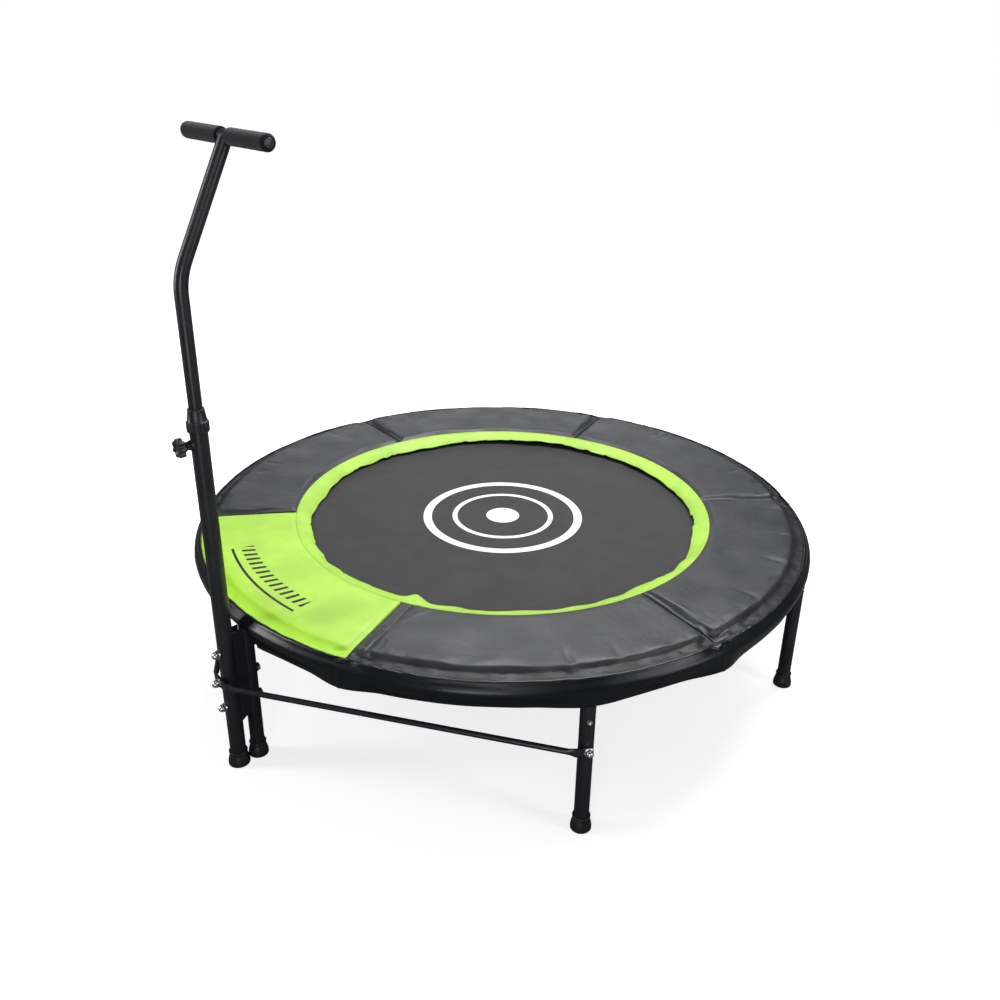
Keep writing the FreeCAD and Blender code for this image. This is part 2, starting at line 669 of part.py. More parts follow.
def stem_end_bush():
    """Plastic cup on the stem's lower end that runs in the post."""
    outer = POST_RADIUS - POST_WALL - RUNNING
    low = STEM_BOTTOM - STEM_CUP_FLOOR
    outline = [
        (0, low),
        (outer - 1.0, low),
        (outer, low + 1.0),
        (outer, STEM_BOTTOM + STEM_CUP_OVERLAP),
        (STEM_RADIUS, STEM_BOTTOM + STEM_CUP_OVERLAP),
        (STEM_RADIUS, STEM_BOTTOM),
        (0, STEM_BOTTOM),
    ]
    return at_post(revolved(outline))


def handle_bar():
    reach = ALONG_X * BAR_HALF_LENGTH
    return tube(BAR_RADIUS, BAR_RADIUS - TUBE_WALL, bar_centre() - reach, bar_centre() + reach)


def turned_about_bar(outline, side):
    """Solid of revolution about the T-bar from (distance along it, radius) points."""
    centre = bar_centre()
    corners = [centre + Vector(side * x, 0, r) for x, r in outline]
    face = Part.Face(Part.makePolygon(corners + corners[:1]))
    return face.revolve(centre, ALONG_X, 360.0)


def grip(side):
    """Foam sleeve with rounded ends."""
    steps = [math.radians(degrees) for degrees in (90, 60, 30, 0)]
    rounded = GRIP_RADIUS - GRIP_ROUNDING
    outer_end = [
        (GRIP_END - GRIP_ROUNDING + GRIP_ROUNDING * math.cos(a), rounded + GRIP_ROUNDING * math.sin(a))
        for a in steps
    ]
    outline = [
        (GRIP_START, BAR_RADIUS),
        (GRIP_START, GRIP_RADIUS - GRIP_INNER_EDGE),
        (GRIP_START + GRIP_INNER_EDGE, GRIP_RADIUS),
    ]
    outline += outer_end
    outline += [(GRIP_END, rounded), (BAR_HALF_LENGTH, rounded), (BAR_HALF_LENGTH, BAR_RADIUS)]
    kept = []
    for point in outline:
        if not kept or abs(point[0] - kept[-1][0]) + abs(point[1] - kept[-1][1]) > 1e-6:
            kept.append(point)
    return turned_about_bar(kept, side)


def bar_end_plug(side):
    """Plastic plug in the tube's end."""
    bore = BAR_RADIUS - TUBE_WALL
    outline = [
        (BAR_HALF_LENGTH - PLUG_LENGTH, 0),
        (BAR_HALF_LENGTH - PLUG_LENGTH, bore - 1.0),
        (BAR_HALF_LENGTH - PLUG_LENGTH + 1.0, bore),
        (BAR_HALF_LENGTH, bore),
        (GRIP_END - PLUG_DOME / 2, bore),
        (GRIP_END + PLUG_DOME / 2, bore - 1.0),
        (GRIP_END + PLUG_DOME, 0),
    ]
    return turned_about_bar(outline, side)


# ---------------------------------------------------------------- mat and springs

def mat():
    half = MAT_THICKNESS / 2
    low = Vector(0, 0, MAT_HEIGHT - half)
    return Part.makeCylinder(MAT_RADIUS, MAT_THICKNESS, low)


def mat_ring(wire):
    """Closed wire ring, its inner bar in the hem and its outer bar held by the spring's hook."""
    corners = [
        Vector(RING_BAR_INNER, -RING_BAR_HALF, MAT_HEIGHT),
        Vector(RING_BAR_INNER, RING_BAR_HALF, MAT_HEIGHT),
        Vector(RING_BAR_OUTER, RING_BAR_HALF, MAT_HEIGHT),
        Vector(RING_BAR_OUTER, -RING_BAR_HALF, MAT_HEIGHT),
    ]
    bars = [rod(wire, a, b) for a, b in zip(corners, corners[1:] + corners[:1])]
    bends = [Part.makeSphere(wire, corner) for corner in corners]
    return fused(bars + bends)


def around(shape, count, start=0.0):
    return [turned(shape, start + 360.0 * number / count) for number in range(count)]


def mat_hem():
    """Folded webbing around the mat's edge, with the tunnels that hold the wire rings."""
    half = HEM_THICKNESS / 2
    slot = MAT_THICKNESS / 2 + HEM_GAP
    slot_end = MAT_RADIUS + 2 * HEM_GAP
    outline = [
        (HEM_INNER, MAT_HEIGHT - half),
        (HEM_OUTER, MAT_HEIGHT - half),
        (HEM_OUTER, MAT_HEIGHT + half),
        (HEM_INNER, MAT_HEIGHT + half),
        (HEM_INNER, MAT_HEIGHT + slot),
        (slot_end, MAT_HEIGHT + slot),
        (slot_end, MAT_HEIGHT - slot),
        (HEM_INNER, MAT_HEIGHT - slot),
    ]
    tunnels = around(mat_ring(RING_WIRE + HEM_GAP), SPRING_COUNT, LEG_ANGLE / 12)
    return revolved(outline).cut(Part.makeCompound(tunnels))


def spring():
    """Extension spring: a closely wound body with a hook at each end."""
    inner_end = RING_BAR_OUTER + HOOK_RADIUS + HOOK_NECK
    outer_end = ANCHOR_RADIUS - HOOK_RADIUS - HOOK_NECK
    start = Vector(inner_end, 0, MAT_HEIGHT)
    end = Vector(outer_end, 0, MAT_HEIGHT)
    end_turn = 2 * SPRING_WIRE
    bore_start = start + ALONG_X * end_turn
    bore_end = end - ALONG_X * end_turn
    coil = rod(SPRING_RADIUS, start, end).cut(rod(SPRING_RADIUS - 2 * SPRING_WIRE, bore_start, bore_end))
    parts = [coil]
    for bar, neck_from in ((RING_BAR_OUTER, start), (ANCHOR_RADIUS, end)):
        centre = Vector(bar, 0, MAT_HEIGHT)
        towards_coil = (neck_from - centre).normalize()
        neck_start = centre + towards_coil * HOOK_RADIUS
        parts.append(Part.makeTorus(HOOK_RADIUS, SPRING_WIRE, centre, Vector(0, 1, 0)))
        parts.append(rod(SPRING_WIRE, neck_start, neck_from + towards_coil * SPRING_WIRE))
    return fused(parts)


# ---------------------------------------------------------------- pad

def pad_outline(inset, bottom):
    """Cross-section of a pad section, puffed on top, in (radius, height)."""
    inner = PAD_INNER + inset
    outer = PAD_OUTER - inset
    low_edge = PAD_SEAM_HEIGHT - inset
    first = Vector(inner, 0, PAD_INNER_HEIGHT - inset)
    crown = Vector((inner + outer) / 2, 0, PAD_CROWN_HEIGHT - inset)
    last = Vector(outer, 0, low_edge)
    top = Part.Arc(first, crown, last).toShape()
    corner_out = Vector(outer, 0, bottom)
    corner_in = Vector(inner, 0, bottom)
    sides = [
        Part.makeLine(last, corner_out),
        Part.makeLine(corner_out, corner_in),
        Part.makeLine(corner_in, first),
    ]
    return Part.Face(Part.Wire([top] + sides))


def pad_sector(inset, bottom, end_inset):
    """One sixth of the pad, starting at angle zero, shrunk by an inset in degrees at both ends."""
    span = 360.0 / PAD_SECTIONS - PAD_SEAM_GAP - 2 * end_inset
    solid = pad_outline(inset, bottom).revolve(Vector(0, 0, 0), UP, span)
    return turned(solid, PAD_SEAM_GAP / 2 + end_inset)


def end_angle(length):
    """Angle that a length takes up at the pad's inner edge."""
    return math.degrees(length / PAD_INNER)


def pad_section():
    """Sewn cover panel, open below."""
    base = PAD_BASE + PAD_SHEET
    hollow = pad_sector(PAD_SHEET, base - 1.0, end_angle(PAD_SHEET))
    return pad_sector(0.0, base, 0.0).cut(hollow)


def pad_foam():
    clear = PAD_SHEET + FOAM_GAP
    return pad_sector(clear, PAD_BASE + PAD_SHEET + FOAM_GAP / 2, end_angle(clear))


def pad_backing():
    return revolved(
        [
            (PAD_INNER, PAD_BASE),
            (PAD_OUTER, PAD_BASE),
            (PAD_OUTER, PAD_BASE + PAD_SHEET - BACKING_GAP),
            (PAD_INNER, PAD_BASE + PAD_SHEET - BACKING_GAP),
        ]
    )


def pad_trim():
    """Vinyl trim that slopes from the pad's inner edge down to the mat."""
    edge = PAD_INNER - FOAM_GAP
    shoulder = edge - TRIM_SHOULDER
    shoulder_height = PAD_INNER_HEIGHT - TRIM_SHOULDER_DROP
    return revolved(
        [
            (TRIM_INNER, TRIM_INNER_HEIGHT),
            (shoulder, shoulder_height - TRIM_SHEET),
            (edge, PAD_INNER_HEIGHT - 2 * TRIM_SHEET),
            (edge, PAD_INNER_HEIGHT),
            (shoulder, shoulder_height),
            (TRIM_INNER, TRIM_INNER_HEIGHT + TRIM_SHEET),
        ]
    )


def pad_skirt():
    """Skirt from the pad's outer seam, down over the ring, with an opening at the handle's bracket."""
    inside = RING_RADIUS + TUBE_RADIUS + SKIRT_GAP
    seam = PAD_OUTER + FOAM_GAP
    shoulder = PAD_SEAM_HEIGHT - SKIRT_SHOULDER
    outline = [
        (seam, PAD_SEAM_HEIGHT),
        (inside, shoulder),
        (inside, SKIRT_BOTTOM),
        (inside + SKIRT_SHEET, SKIRT_BOTTOM),
        (inside + SKIRT_SHEET, shoulder + SKIRT_SHEET / 2),
        (seam + SKIRT_SHEET, PAD_SEAM_HEIGHT),
    ]
    reach = RING_RADIUS - 4 * TUBE_RADIUS
    opening = [
        Vector(-SKIRT_NOTCH_HALF_BOTTOM, -reach, SKIRT_BOTTOM - 1.0),
        Vector(SKIRT_NOTCH_HALF_BOTTOM, -reach, SKIRT_BOTTOM - 1.0),
        Vector(SKIRT_NOTCH_HALF_TOP, -reach, SKIRT_NOTCH_TOP),
        Vector(-SKIRT_NOTCH_HALF_TOP, -reach, SKIRT_NOTCH_TOP),
    ]
    return revolved(outline).cut(plate(opening, OUTWARD * (8 * TUBE_RADIUS)))


def pad_tie():
    """Elastic strap that runs under the ring, from the skirt side to the pad's inner underside."""
    top = PAD_BASE - SLIP
    outer = RING_RADIUS + TUBE_RADIUS + SKIRT_GAP - SLIP
    inner = RING_RADIUS - TUBE_RADIUS - TIE_GAP
    low = RING_HEIGHT - TUBE_RADIUS - TIE_GAP
    strip = [
        (inner, top),
        (inner, low),
        (outer, low),
        (outer, low - TIE_SHEET),
        (inner - TIE_SHEET, low - TIE_SHEET),
        (inner - TIE_SHEET, top),
    ]
    span = math.degrees(TIE_WIDTH / RING_RADIUS)
    return turned(revolved(strip, span), -span / 2)


# ---------------------------------------------------------------- build

def build_frame():
    arcs = [frame_arc(number == 0) for number in range(2)]
    for name, angle in zip(LEG_NAMES, LEG_ANGLES):
        at_handle = angle == HANDLE_ANGLE
        beside_handle = name in ("front_left", "front_right")
        save(f"frame_arc_{name}", turned(arcs[0] if at_handle else arcs[1], angle))
        heights = BRACKET_BOLT_HEIGHTS if at_handle else (BRACE_LEG_HEIGHT,) if beside_handle else ()
        save(f"leg_{name}", turned(leg(heights, not at_handle), angle))
        save(f"foot_{name}", turned(foot(TUBE_RADIUS, RING_RADIUS), angle))
    save("leg_screws", [turned(leg_screw(), angle) for angle in LEG_ANGLES if angle != HANDLE_ANGLE])
    save("spring_anchors", around(spring_anchor(), SPRING_COUNT, LEG_ANGLE / 12))


def build_post():
    save("foot_post", towards_handle(foot(POST_RADIUS, POST_DISTANCE)))
    save("post_tube", post_tube())
    save("post_bracket", post_bracket())
    bolts, nuts, washers = bracket_joints()
    side_bolts, side_nuts, side_washers = brace_joints()
    save("bracket_bolts", bolts)
    save("brace_bolts", side_bolts)
    save("cap_nuts", nuts + side_nuts)
    save("washers", washers + side_washers)
    save("brace_left", brace(-1, 0))
    save("brace_right", brace(1, 1))
    save("collar_nut", collar_nut())
    save("stem_bush", stem_bush())
    save("clamp_boss", clamp_boss())
    save("clamp_pad", clamp_pad())
    save("clamp_screw", clamp_screw())
    save("clamp_knob", clamp_knob())


def build_handle():
    save("handle_stem", handle_stem())
    save("stem_end_bush", stem_end_bush())
    save("handle_bar", handle_bar())
    save("grip_left", grip(-1))
    save("grip_right", grip(1))
    save("bar_end_plugs", [bar_end_plug(-1), bar_end_plug(1)])


def build_mat():
    start = LEG_ANGLE / 12
    save("mat", mat())
    save("mat_hem", mat_hem())
    save("mat_rings", around(mat_ring(RING_WIRE), SPRING_COUNT, start))
    save("springs", around(spring(), SPRING_COUNT, start))


def build_pad():
    seams = [PAD_FIRST_SEAM + 360.0 / PAD_SECTIONS * number for number in range(PAD_SECTIONS)]
    for name, angle in zip(["front", "front_right", "right", "back_right", "back_left", "left"], seams):
        save(f"pad_section_{name}", turned(pad_section(), angle))
    save("pad_foam", [turned(pad_foam(), angle) for angle in seams])
    save("pad_backing", pad_backing())
    save("pad_trim", pad_trim())
    save("pad_skirt", pad_skirt())
    save("pad_ties", around(pad_tie(), TIE_COUNT, HANDLE_ANGLE + LEG_ANGLE / 2 + TIE_START))


os.makedirs("parts", exist_ok=True)
build_frame()
build_post()
build_handle()
build_mat()
build_pad()
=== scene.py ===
"""Looks of the mini trampoline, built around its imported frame. Metres, +Z up, handle on the -Y side."""

import math

import bmesh
import bpy
import numpy as np
from mathutils import Matrix, Vector, noise


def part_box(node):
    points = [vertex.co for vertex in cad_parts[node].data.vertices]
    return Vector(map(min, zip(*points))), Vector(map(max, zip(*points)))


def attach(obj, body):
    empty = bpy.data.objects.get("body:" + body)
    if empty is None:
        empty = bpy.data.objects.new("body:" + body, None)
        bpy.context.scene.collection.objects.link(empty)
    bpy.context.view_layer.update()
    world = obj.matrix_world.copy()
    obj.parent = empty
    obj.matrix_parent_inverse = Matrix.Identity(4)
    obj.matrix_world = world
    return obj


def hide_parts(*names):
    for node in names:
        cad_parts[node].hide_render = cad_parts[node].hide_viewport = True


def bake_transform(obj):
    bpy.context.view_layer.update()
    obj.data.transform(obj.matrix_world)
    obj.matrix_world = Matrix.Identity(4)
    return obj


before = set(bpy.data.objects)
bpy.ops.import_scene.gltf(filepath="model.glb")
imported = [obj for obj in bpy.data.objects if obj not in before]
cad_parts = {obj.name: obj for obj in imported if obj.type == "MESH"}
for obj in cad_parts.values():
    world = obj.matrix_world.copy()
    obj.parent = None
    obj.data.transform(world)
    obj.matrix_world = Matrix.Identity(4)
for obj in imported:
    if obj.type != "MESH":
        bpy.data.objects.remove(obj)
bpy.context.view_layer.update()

# ---------------------------------------------------------------- places and sizes, from the frame

def radii(node):
    """Smallest and largest distance of a CAD node's points from the vertical line through the middle."""
    points = np.array([vertex.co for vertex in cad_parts[node].data.vertices])
    distance = np.linalg.norm(points[:, :2], axis=1)
    return float(distance.min()), float(distance.max())


def heights(node):
    """Lowest and highest point of a CAD node."""
    return [corner.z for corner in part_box(node)]


MAT_LOW, MAT_TOP = heights("mat")
MAT_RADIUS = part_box("mat")[1].x
HEM_LOW, HEM_TOP = heights("mat_hem")
HEM_INNER, HEM_OUTER = radii("mat_hem")
SPRINGS_INNER, SPRINGS_OUTER = radii("springs")
PAD_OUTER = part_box("pad_backing")[1].x
PAD_BASE = heights("pad_backing")[1]
PAD_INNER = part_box("pad_trim")[1].x
PAD_TOP = heights("pad_section_right")[1]
TRIM_LOW, TRIM_TOP = heights("pad_trim")
SKIRT_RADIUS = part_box("pad_skirt")[1].x
SKIRT_LOW, SEAM_HEIGHT = heights("pad_skirt")
SPRING_HEIGHT = (MAT_LOW + MAT_TOP) / 2
RING_HEIGHT = SPRING_HEIGHT - 0.0015
TUBE_RADIUS = (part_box("leg_back")[1].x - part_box("leg_back")[0].x) / 2
RING_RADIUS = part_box("leg_back")[1].y - TUBE_RADIUS
POST_Y = sum(corner.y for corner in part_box("post_tube")) / 2

SECTION_NAMES = ["front", "front_right", "right", "back_right", "back_left", "left"]
SECTION_ANGLE = 360 / len(SECTION_NAMES)
FIRST_SEAM = -127.4  # degrees, where the front section starts
SEAM_GAP = 0.25  # degrees between two sections
SPRING_COUNT = 36
SPRING_STEP = 360 / SPRING_COUNT
HANDLE_ANGLE = -90.0
LEG_ANGLES = [HANDLE_ANGLE + SECTION_ANGLE * number for number in range(len(SECTION_NAMES))]
SEAM_ANGLES = [FIRST_SEAM + SECTION_ANGLE * number for number in range(len(SECTION_NAMES))]


# ---------------------------------------------------------------- small maths

def polar(radius, degrees, height):
    """Points round the middle, from radius, angle and height, which may be arrays."""
    angle = np.radians(degrees)
    parts = np.broadcast_arrays(radius * np.cos(angle), radius * np.sin(angle), height)
    return np.stack(parts, axis=-1)


def smooth_step(value, low, high):
    share = np.clip((value - low) / (high - low), 0, 1)
    return share * share * (3 - 2 * share)


def gap_between(degrees, centre):
    """Signed angle from a centre, between -180 and 180."""
    return (np.asarray(degrees, float) - centre + 180) % 360 - 180


def hump(degrees, centres, width):
    """Smooth humps of height 1 at some angles."""
    heights = [np.exp(-((gap_between(degrees, centre) / width) ** 2)) for centre in centres]
    return np.max(heights, axis=0)


def wobble(points, waves_per_metre, seed):
    """Smooth noise, about -1 to 1, at points whose last axis is x, y, z."""
    flat = np.reshape(points, (-1, 3)) * waves_per_metre + seed
    values = [noise.noise(Vector(point)) for point in flat]
    return np.reshape(values, np.shape(points)[:-1])


# ---------------------------------------------------------------- mesh helpers

def grid_faces(rows, columns, wrap_rows=False, wrap_columns=False, keep=None):
    """Quads of a grid of points stored row by row. keep(row, column) can leave some out."""
    faces = []
    for row in range(rows if wrap_rows else rows - 1):
        here = row * columns
        below = (row + 1) % rows * columns
        for column in range(columns if wrap_columns else columns - 1):
            right = (column + 1) % columns
            if not keep or keep(row, column):
                faces.append((here + column, here + right, below + right, below + column))
    return faces


def new_piece(name, vertices, faces, material):
    """Smooth-shaded mesh with welded points, no loose ones and its faces turned outward."""
    mesh = bpy.data.meshes.new(name)
    mesh.from_pydata(np.reshape(vertices, (-1, 3)).tolist(), [], faces)
    build = bmesh.new()
    build.from_mesh(mesh)
    bmesh.ops.remove_doubles(build, verts=build.verts, dist=1e-6)
    loose = [vertex for vertex in build.verts if not vertex.link_faces]
    bmesh.ops.delete(build, geom=loose, context="VERTS")
    bmesh.ops.recalc_face_normals(build, faces=build.faces)
    build.to_mesh(mesh)
    build.free()
    mesh.polygons.foreach_set("use_smooth", [True] * len(mesh.polygons))
    mesh.materials.append(material)
    piece = bpy.data.objects.new(name, mesh)
    bpy.context.scene.collection.objects.link(piece)
    return piece


def joined(name, shapes, material):
    """One piece from many (vertices, faces) shapes."""
    vertices = []
    faces = []
    for points, polygons in shapes:
        start = len(vertices)
        vertices.extend(np.reshape(points, (-1, 3)).tolist())
        faces.extend(tuple(start + index for index in polygon) for polygon in polygons)
    return new_piece(name, vertices, faces, material)


def turned_shape(outline, centre, axis, steps=64, reshape=None):
    """(vertices, faces) turned about an axis, from a closed outline of (radius, distance along it).

    reshape(radius, angle, along) gives a new radius, for ribs and lobes."""
    across = Vector((0, 0, 1)) if abs(axis.z) < 0.5 else Vector((1, 0, 0))
    side = axis.cross(across)
    vertices = []
    for radius, along in outline:
        for step in range(steps):
            angle = 2 * math.pi * step / steps
            reach = reshape(radius, angle, along) if reshape else radius
            arm = across * math.cos(angle) + side * math.sin(angle)
            vertices.append(centre + axis * along + arm * reach)
    on_axis = outline[0][0] == 0 and outline[-1][0] == 0
    return vertices, grid_faces(len(outline), steps, wrap_rows=not on_axis, wrap_columns=True)


def arc(centre_radius, centre_along, size, start, end, count=5):
    """Points of a rounded corner, in (radius, along), from a start angle to an end angle in degrees."""
    angles = np.radians(np.linspace(start, end, count))
    return [(centre_radius + size * math.cos(a), centre_along + size * math.sin(a)) for a in angles]


def wire(points, radius, sides=8, closed=False):
    """(vertices, faces) of a round wire along a line of points, with flat ends unless closed."""
    points = np.asarray(points, float)
    if closed:
        forward = np.roll(points, -1, 0) - np.roll(points, 1, 0)
    else:
        forward = np.gradient(points, axis=0)
    forward /= np.linalg.norm(forward, axis=1)[:, None]
    across = np.eye(3)[int(np.argmin(np.abs(forward[0])))]
    side = np.empty_like(forward)
    for index, direction in enumerate(forward):
        across = across - direction * (across @ direction)
        across = across / np.linalg.norm(across)
        side[index] = across
    top = np.cross(side, forward)
    angle = 2 * np.pi * np.arange(sides) / sides
    ring = side[:, None] * np.cos(angle)[:, None] + top[:, None] * np.sin(angle)[:, None]
    vertices = (points[:, None] + ring * radius).reshape(-1, 3)
    faces = grid_faces(len(points), sides, wrap_rows=closed, wrap_columns=True)
    if not closed:
        last = (len(points) - 1) * sides
        faces.append(tuple(range(sides)))
        faces.append(tuple(range(last, last + sides)))
    return vertices, faces


def at_angle(points, degrees):
    """Copy of points made on the +X side, turned round the middle."""
    turn = np.array(Matrix.Rotation(math.radians(degrees), 3, "Z"))
    return np.asarray(points, float) @ turn.T


def add_thickness(piece, thickness, offset=-1.0):
    shell = piece.modifiers.new("thickness", "SOLIDIFY")
    shell.thickness = thickness
    shell.offset = offset


def subdivide(piece, levels):
    smooth = piece.modifiers.new("smooth", "SUBSURF")
    smooth.levels = smooth.render_levels = levels


def finish_piece(piece, body, slot, *nodes):
    """Puts a finished piece on its body, in place of CAD nodes."""
    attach(piece, body)
    if nodes:
        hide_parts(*nodes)


# ---------------------------------------------------------------- node materials

class Finish:
    """One node material, in metres of the object's own frame."""

    def __init__(self, name, colour, roughness, metallic=0.0, specular=0.5):
        self.material = bpy.data.materials.new(name)
        self.material.use_nodes = True
        self.tree = self.material.node_tree
        self.surface = self.tree.nodes["Principled BSDF"]
        self.place = self.node("ShaderNodeTexCoord").outputs["Object"]
        self.normal = None
        self.colour = colour + (1.0,)
        self.feed("Base Color", self.colour)
        self.feed("Roughness", roughness)
        self.feed("Metallic", metallic)
        self.feed("Specular IOR Level", specular)

    def node(self, kind, inputs=(), **settings):
        made = self.tree.nodes.new(kind)
        for key, value in settings.items():
            setattr(made, key, value)
        for key, value in dict(inputs).items():
            self.connect(made.inputs[key], value)
        return made

    def connect(self, socket, value):
        if isinstance(value, bpy.types.NodeSocket):
            self.tree.links.new(value, socket)
        else:
            socket.default_value = value

    def feed(self, name, value):
        self.connect(self.surface.inputs[name], value)

    def math(self, operation, first, second=0.0):
        return self.node("ShaderNodeMath", {0: first, 1: second}, operation=operation).outputs[0]

    def between(self, value, low, high, to_low=0.0, to_high=1.0):
        """A value's place between two limits, eased, as a new range."""
        inputs = {"Value": value, "From Min": low, "From Max": high, "To Min": to_low, "To Max": to_high}
        return self.node("ShaderNodeMapRange", inputs, interpolation_type="SMOOTHSTEP").outputs[0]

    def mix(self, share, first, second):
        made = self.node("ShaderNodeMix", data_type="RGBA")
        self.connect(made.inputs[0], share)
        self.connect(made.inputs[6], first)
        self.connect(made.inputs[7], second)
        return made.outputs[2]

    def noise(self, scale, detail=3.0):
        inputs = {"Vector": self.place, "Scale": scale, "Detail": detail}
        return self.node("ShaderNodeTexNoise", inputs).outputs[0]

    def cells(self, scale):
        inputs = {"Vector": self.place, "Scale": scale}
        return self.node("ShaderNodeTexVoronoi", inputs).outputs["Distance"]

    def axes(self):
        return self.node("ShaderNodeSeparateXYZ", {0: self.place}).outputs

    def from_middle(self):
        """Distance from the vertical line through the middle."""
        inputs = {0: self.place, 1: (1, 1, 0)}
        flat = self.node("ShaderNodeVectorMath", inputs, operation="MULTIPLY").outputs[0]
        return self.node("ShaderNodeVectorMath", {0: flat}, operation="LENGTH").outputs["Value"]

    def uneven_edge(self, scale, waviness, start, end):
        """0 inside a radius to 1 outside another, along a wavy border."""
        shift = self.math("MULTIPLY", self.math("SUBTRACT", self.noise(scale), 0.5), waviness)
        return self.between(self.math("ADD", self.from_middle(), shift), start, end)

    def bump(self, height, depth, strength=1.0):
        """Adds a bump of a depth in metres on top of those before it."""
        inputs = {"Height": height, "Distance": depth, "Strength": strength}
        if self.normal:
            inputs["Normal"] = self.normal
        self.normal = self.node("ShaderNodeBump", inputs).outputs[0]
        self.feed("Normal", self.normal)

    def vary_colour(self, scale, darker, lighter):
        """Uneven colour, from darker to lighter multiples of the base."""
        shades = []
        for factor in (darker, lighter):
            shades.append(tuple(channel * factor for channel in self.colour[:3]) + (1.0,))
        self.tint = self.mix(self.between(self.noise(scale, 4.0), 0.3, 0.7), *shades)
        self.feed("Base Color", self.tint)

    def vary_roughness(self, scale, low, high):
        self.feed("Roughness", self.between(self.noise(scale, 5.0), 0.3, 0.7, low, high))

    def weave(self, pitch):
        """Height of a plain weave with threads every pitch metres."""
        x, y, _ = self.axes()
        across = self.math("SINE", self.math("MULTIPLY", x, 2 * math.pi / pitch))
        along = self.math("SINE", self.math("MULTIPLY", y, 2 * math.pi / pitch))
        return self.math("MULTIPLY", across, along)


def powder_coat():
    finish = Finish("powder_coat", (0.0125, 0.0130, 0.0165), 0.33)
    finish.vary_colour(9.0, 0.8, 1.35)
    finish.vary_roughness(14.0, 0.3, 0.44)
    finish.bump(finish.noise(1400.0, 1.0), 0.00006, 0.6)
    finish.bump(finish.noise(220.0, 2.0), 0.0001, 0.35)
    return finish.material


def zinc():
    finish = Finish("zinc_plate", (0.8, 0.81, 0.83), 0.22, metallic=1.0)
    finish.vary_colour(160.0, 0.7, 1.15)
    finish.vary_roughness(240.0, 0.16, 0.36)
    finish.bump(finish.noise(1800.0, 2.0), 0.00003)
    return finish.material


def spring_steel():
    finish = Finish("spring_steel", (0.42, 0.43, 0.45), 0.3, metallic=1.0)
    finish.vary_colour(90.0, 0.6, 1.2)
    finish.vary_roughness(300.0, 0.22, 0.42)
    return finish.material


def rubber():
    finish = Finish("foot_rubber", (0.012, 0.012, 0.013), 0.42, specular=0.45)
    finish.vary_colour(60.0, 0.8, 1.5)
    finish.vary_roughness(45.0, 0.33, 0.55)
    finish.bump(finish.noise(900.0, 3.0), 0.00008)
    return finish.material


def moulded_plastic():
    finish = Finish("black_plastic", (0.012, 0.0123, 0.015), 0.34)
    finish.vary_colour(80.0, 0.85, 1.3)
    finish.vary_roughness(70.0, 0.28, 0.46)
    finish.bump(finish.noise(2600.0, 2.0), 0.00004)
    return finish.material


def grip_foam():
    finish = Finish("grip_foam", (0.0060, 0.0063, 0.0090), 0.8, specular=0.18)
    finish.vary_colour(110.0, 0.75, 1.6)
    finish.bump(finish.cells(1100.0), 0.0003, 0.8)
    finish.bump(finish.noise(190.0, 3.0), 0.0004, 0.5)
    finish.feed("Sheen Weight", 0.15)
    return finish.material


def open_foam():
    finish = Finish("pad_foam", (0.05, 0.051, 0.053), 0.85, specular=0.3)
    finish.vary_colour(40.0, 0.88, 1.05)
    finish.bump(finish.cells(420.0), 0.0006)
    return finish.material


TARGET_RINGS = ((-1.0, 0.034), (0.094, 0.104), (0.147, 0.164))  # a disc and two rings: inner, outer radius
PRINT_EDGE = 0.0004


def mat_mesh():
    """Woven mat with a generic printed target: two rings and a disc."""
    finish = Finish("mat_mesh", (0.030, 0.030, 0.031), 0.6, specular=0.28)
    finish.vary_colour(26.0, 0.88, 1.12)
    height = finish.weave(0.0022)
    # painted shade: the weave's gaps between the threads are darkened in colour
    gaps = finish.between(height, -0.8, 0.8, 0.0, 0.22)
    threads = finish.mix(gaps, finish.tint, (0.015, 0.015, 0.016, 1.0))
    radius = finish.from_middle()
    printed = 0.0
    for inner, outer in TARGET_RINGS:
        inside = finish.between(radius, inner - PRINT_EDGE, inner + PRINT_EDGE)
        outside = finish.between(radius, outer - PRINT_EDGE, outer + PRINT_EDGE, 1.0, 0.0)
        printed = finish.math("MAXIMUM", printed, finish.math("MULTIPLY", inside, outside))
    worn = finish.between(finish.noise(520.0, 4.0), 0.28, 0.4, 0.72, 1.0)
    share = finish.math("MULTIPLY", printed, worn)
    finish.feed("Base Color", finish.mix(share, threads, (0.83, 0.83, 0.83, 1.0)))
    finish.bump(height, 0.0003, 0.55)
    return finish.material


def webbing():
    finish = Finish("hem_webbing", (0.013, 0.013, 0.014), 0.7, specular=0.3)
    finish.vary_colour(50.0, 0.8, 1.4)
    finish.bump(finish.weave(0.0016), 0.0003, 0.7)
    return finish.material


def vinyl(name, colour, roughness, specular=0.5):
    """Coated fabric: fine leather grain, soft creases, uneven sheen."""
    finish = Finish(name, colour, roughness, specular=specular)
    finish.vary_colour(11.0, 0.9, 1.1)
    finish.vary_roughness(16.0, roughness * 0.82, roughness * 1.18)
    finish.bump(finish.cells(850.0), 0.00007, 0.5)
    finish.bump(finish.noise(85.0, 4.0), 0.0005, 0.3)
    return finish


def grey_vinyl():
    """Mid-grey on the pads, with painted shade darkening the valley at the outer seam."""
    finish = vinyl("grey_vinyl", (0.024, 0.0252, 0.030), 0.45, specular=0.4)
    # painted shade: the edge mask darkens the colour in the valley between the foam's edge and the skirt's
    # roll
    edge = finish.uneven_edge(30.0, 0.016, PAD_OUTER - 0.027, PAD_OUTER - 0.014)
    finish.feed("Base Color", finish.mix(edge, finish.tint, (0.010, 0.0105, 0.012, 1.0)))
    finish.feed("Specular IOR Level", finish.between(edge, 0.0, 1.0, 0.4, 0.3))
    return finish.material


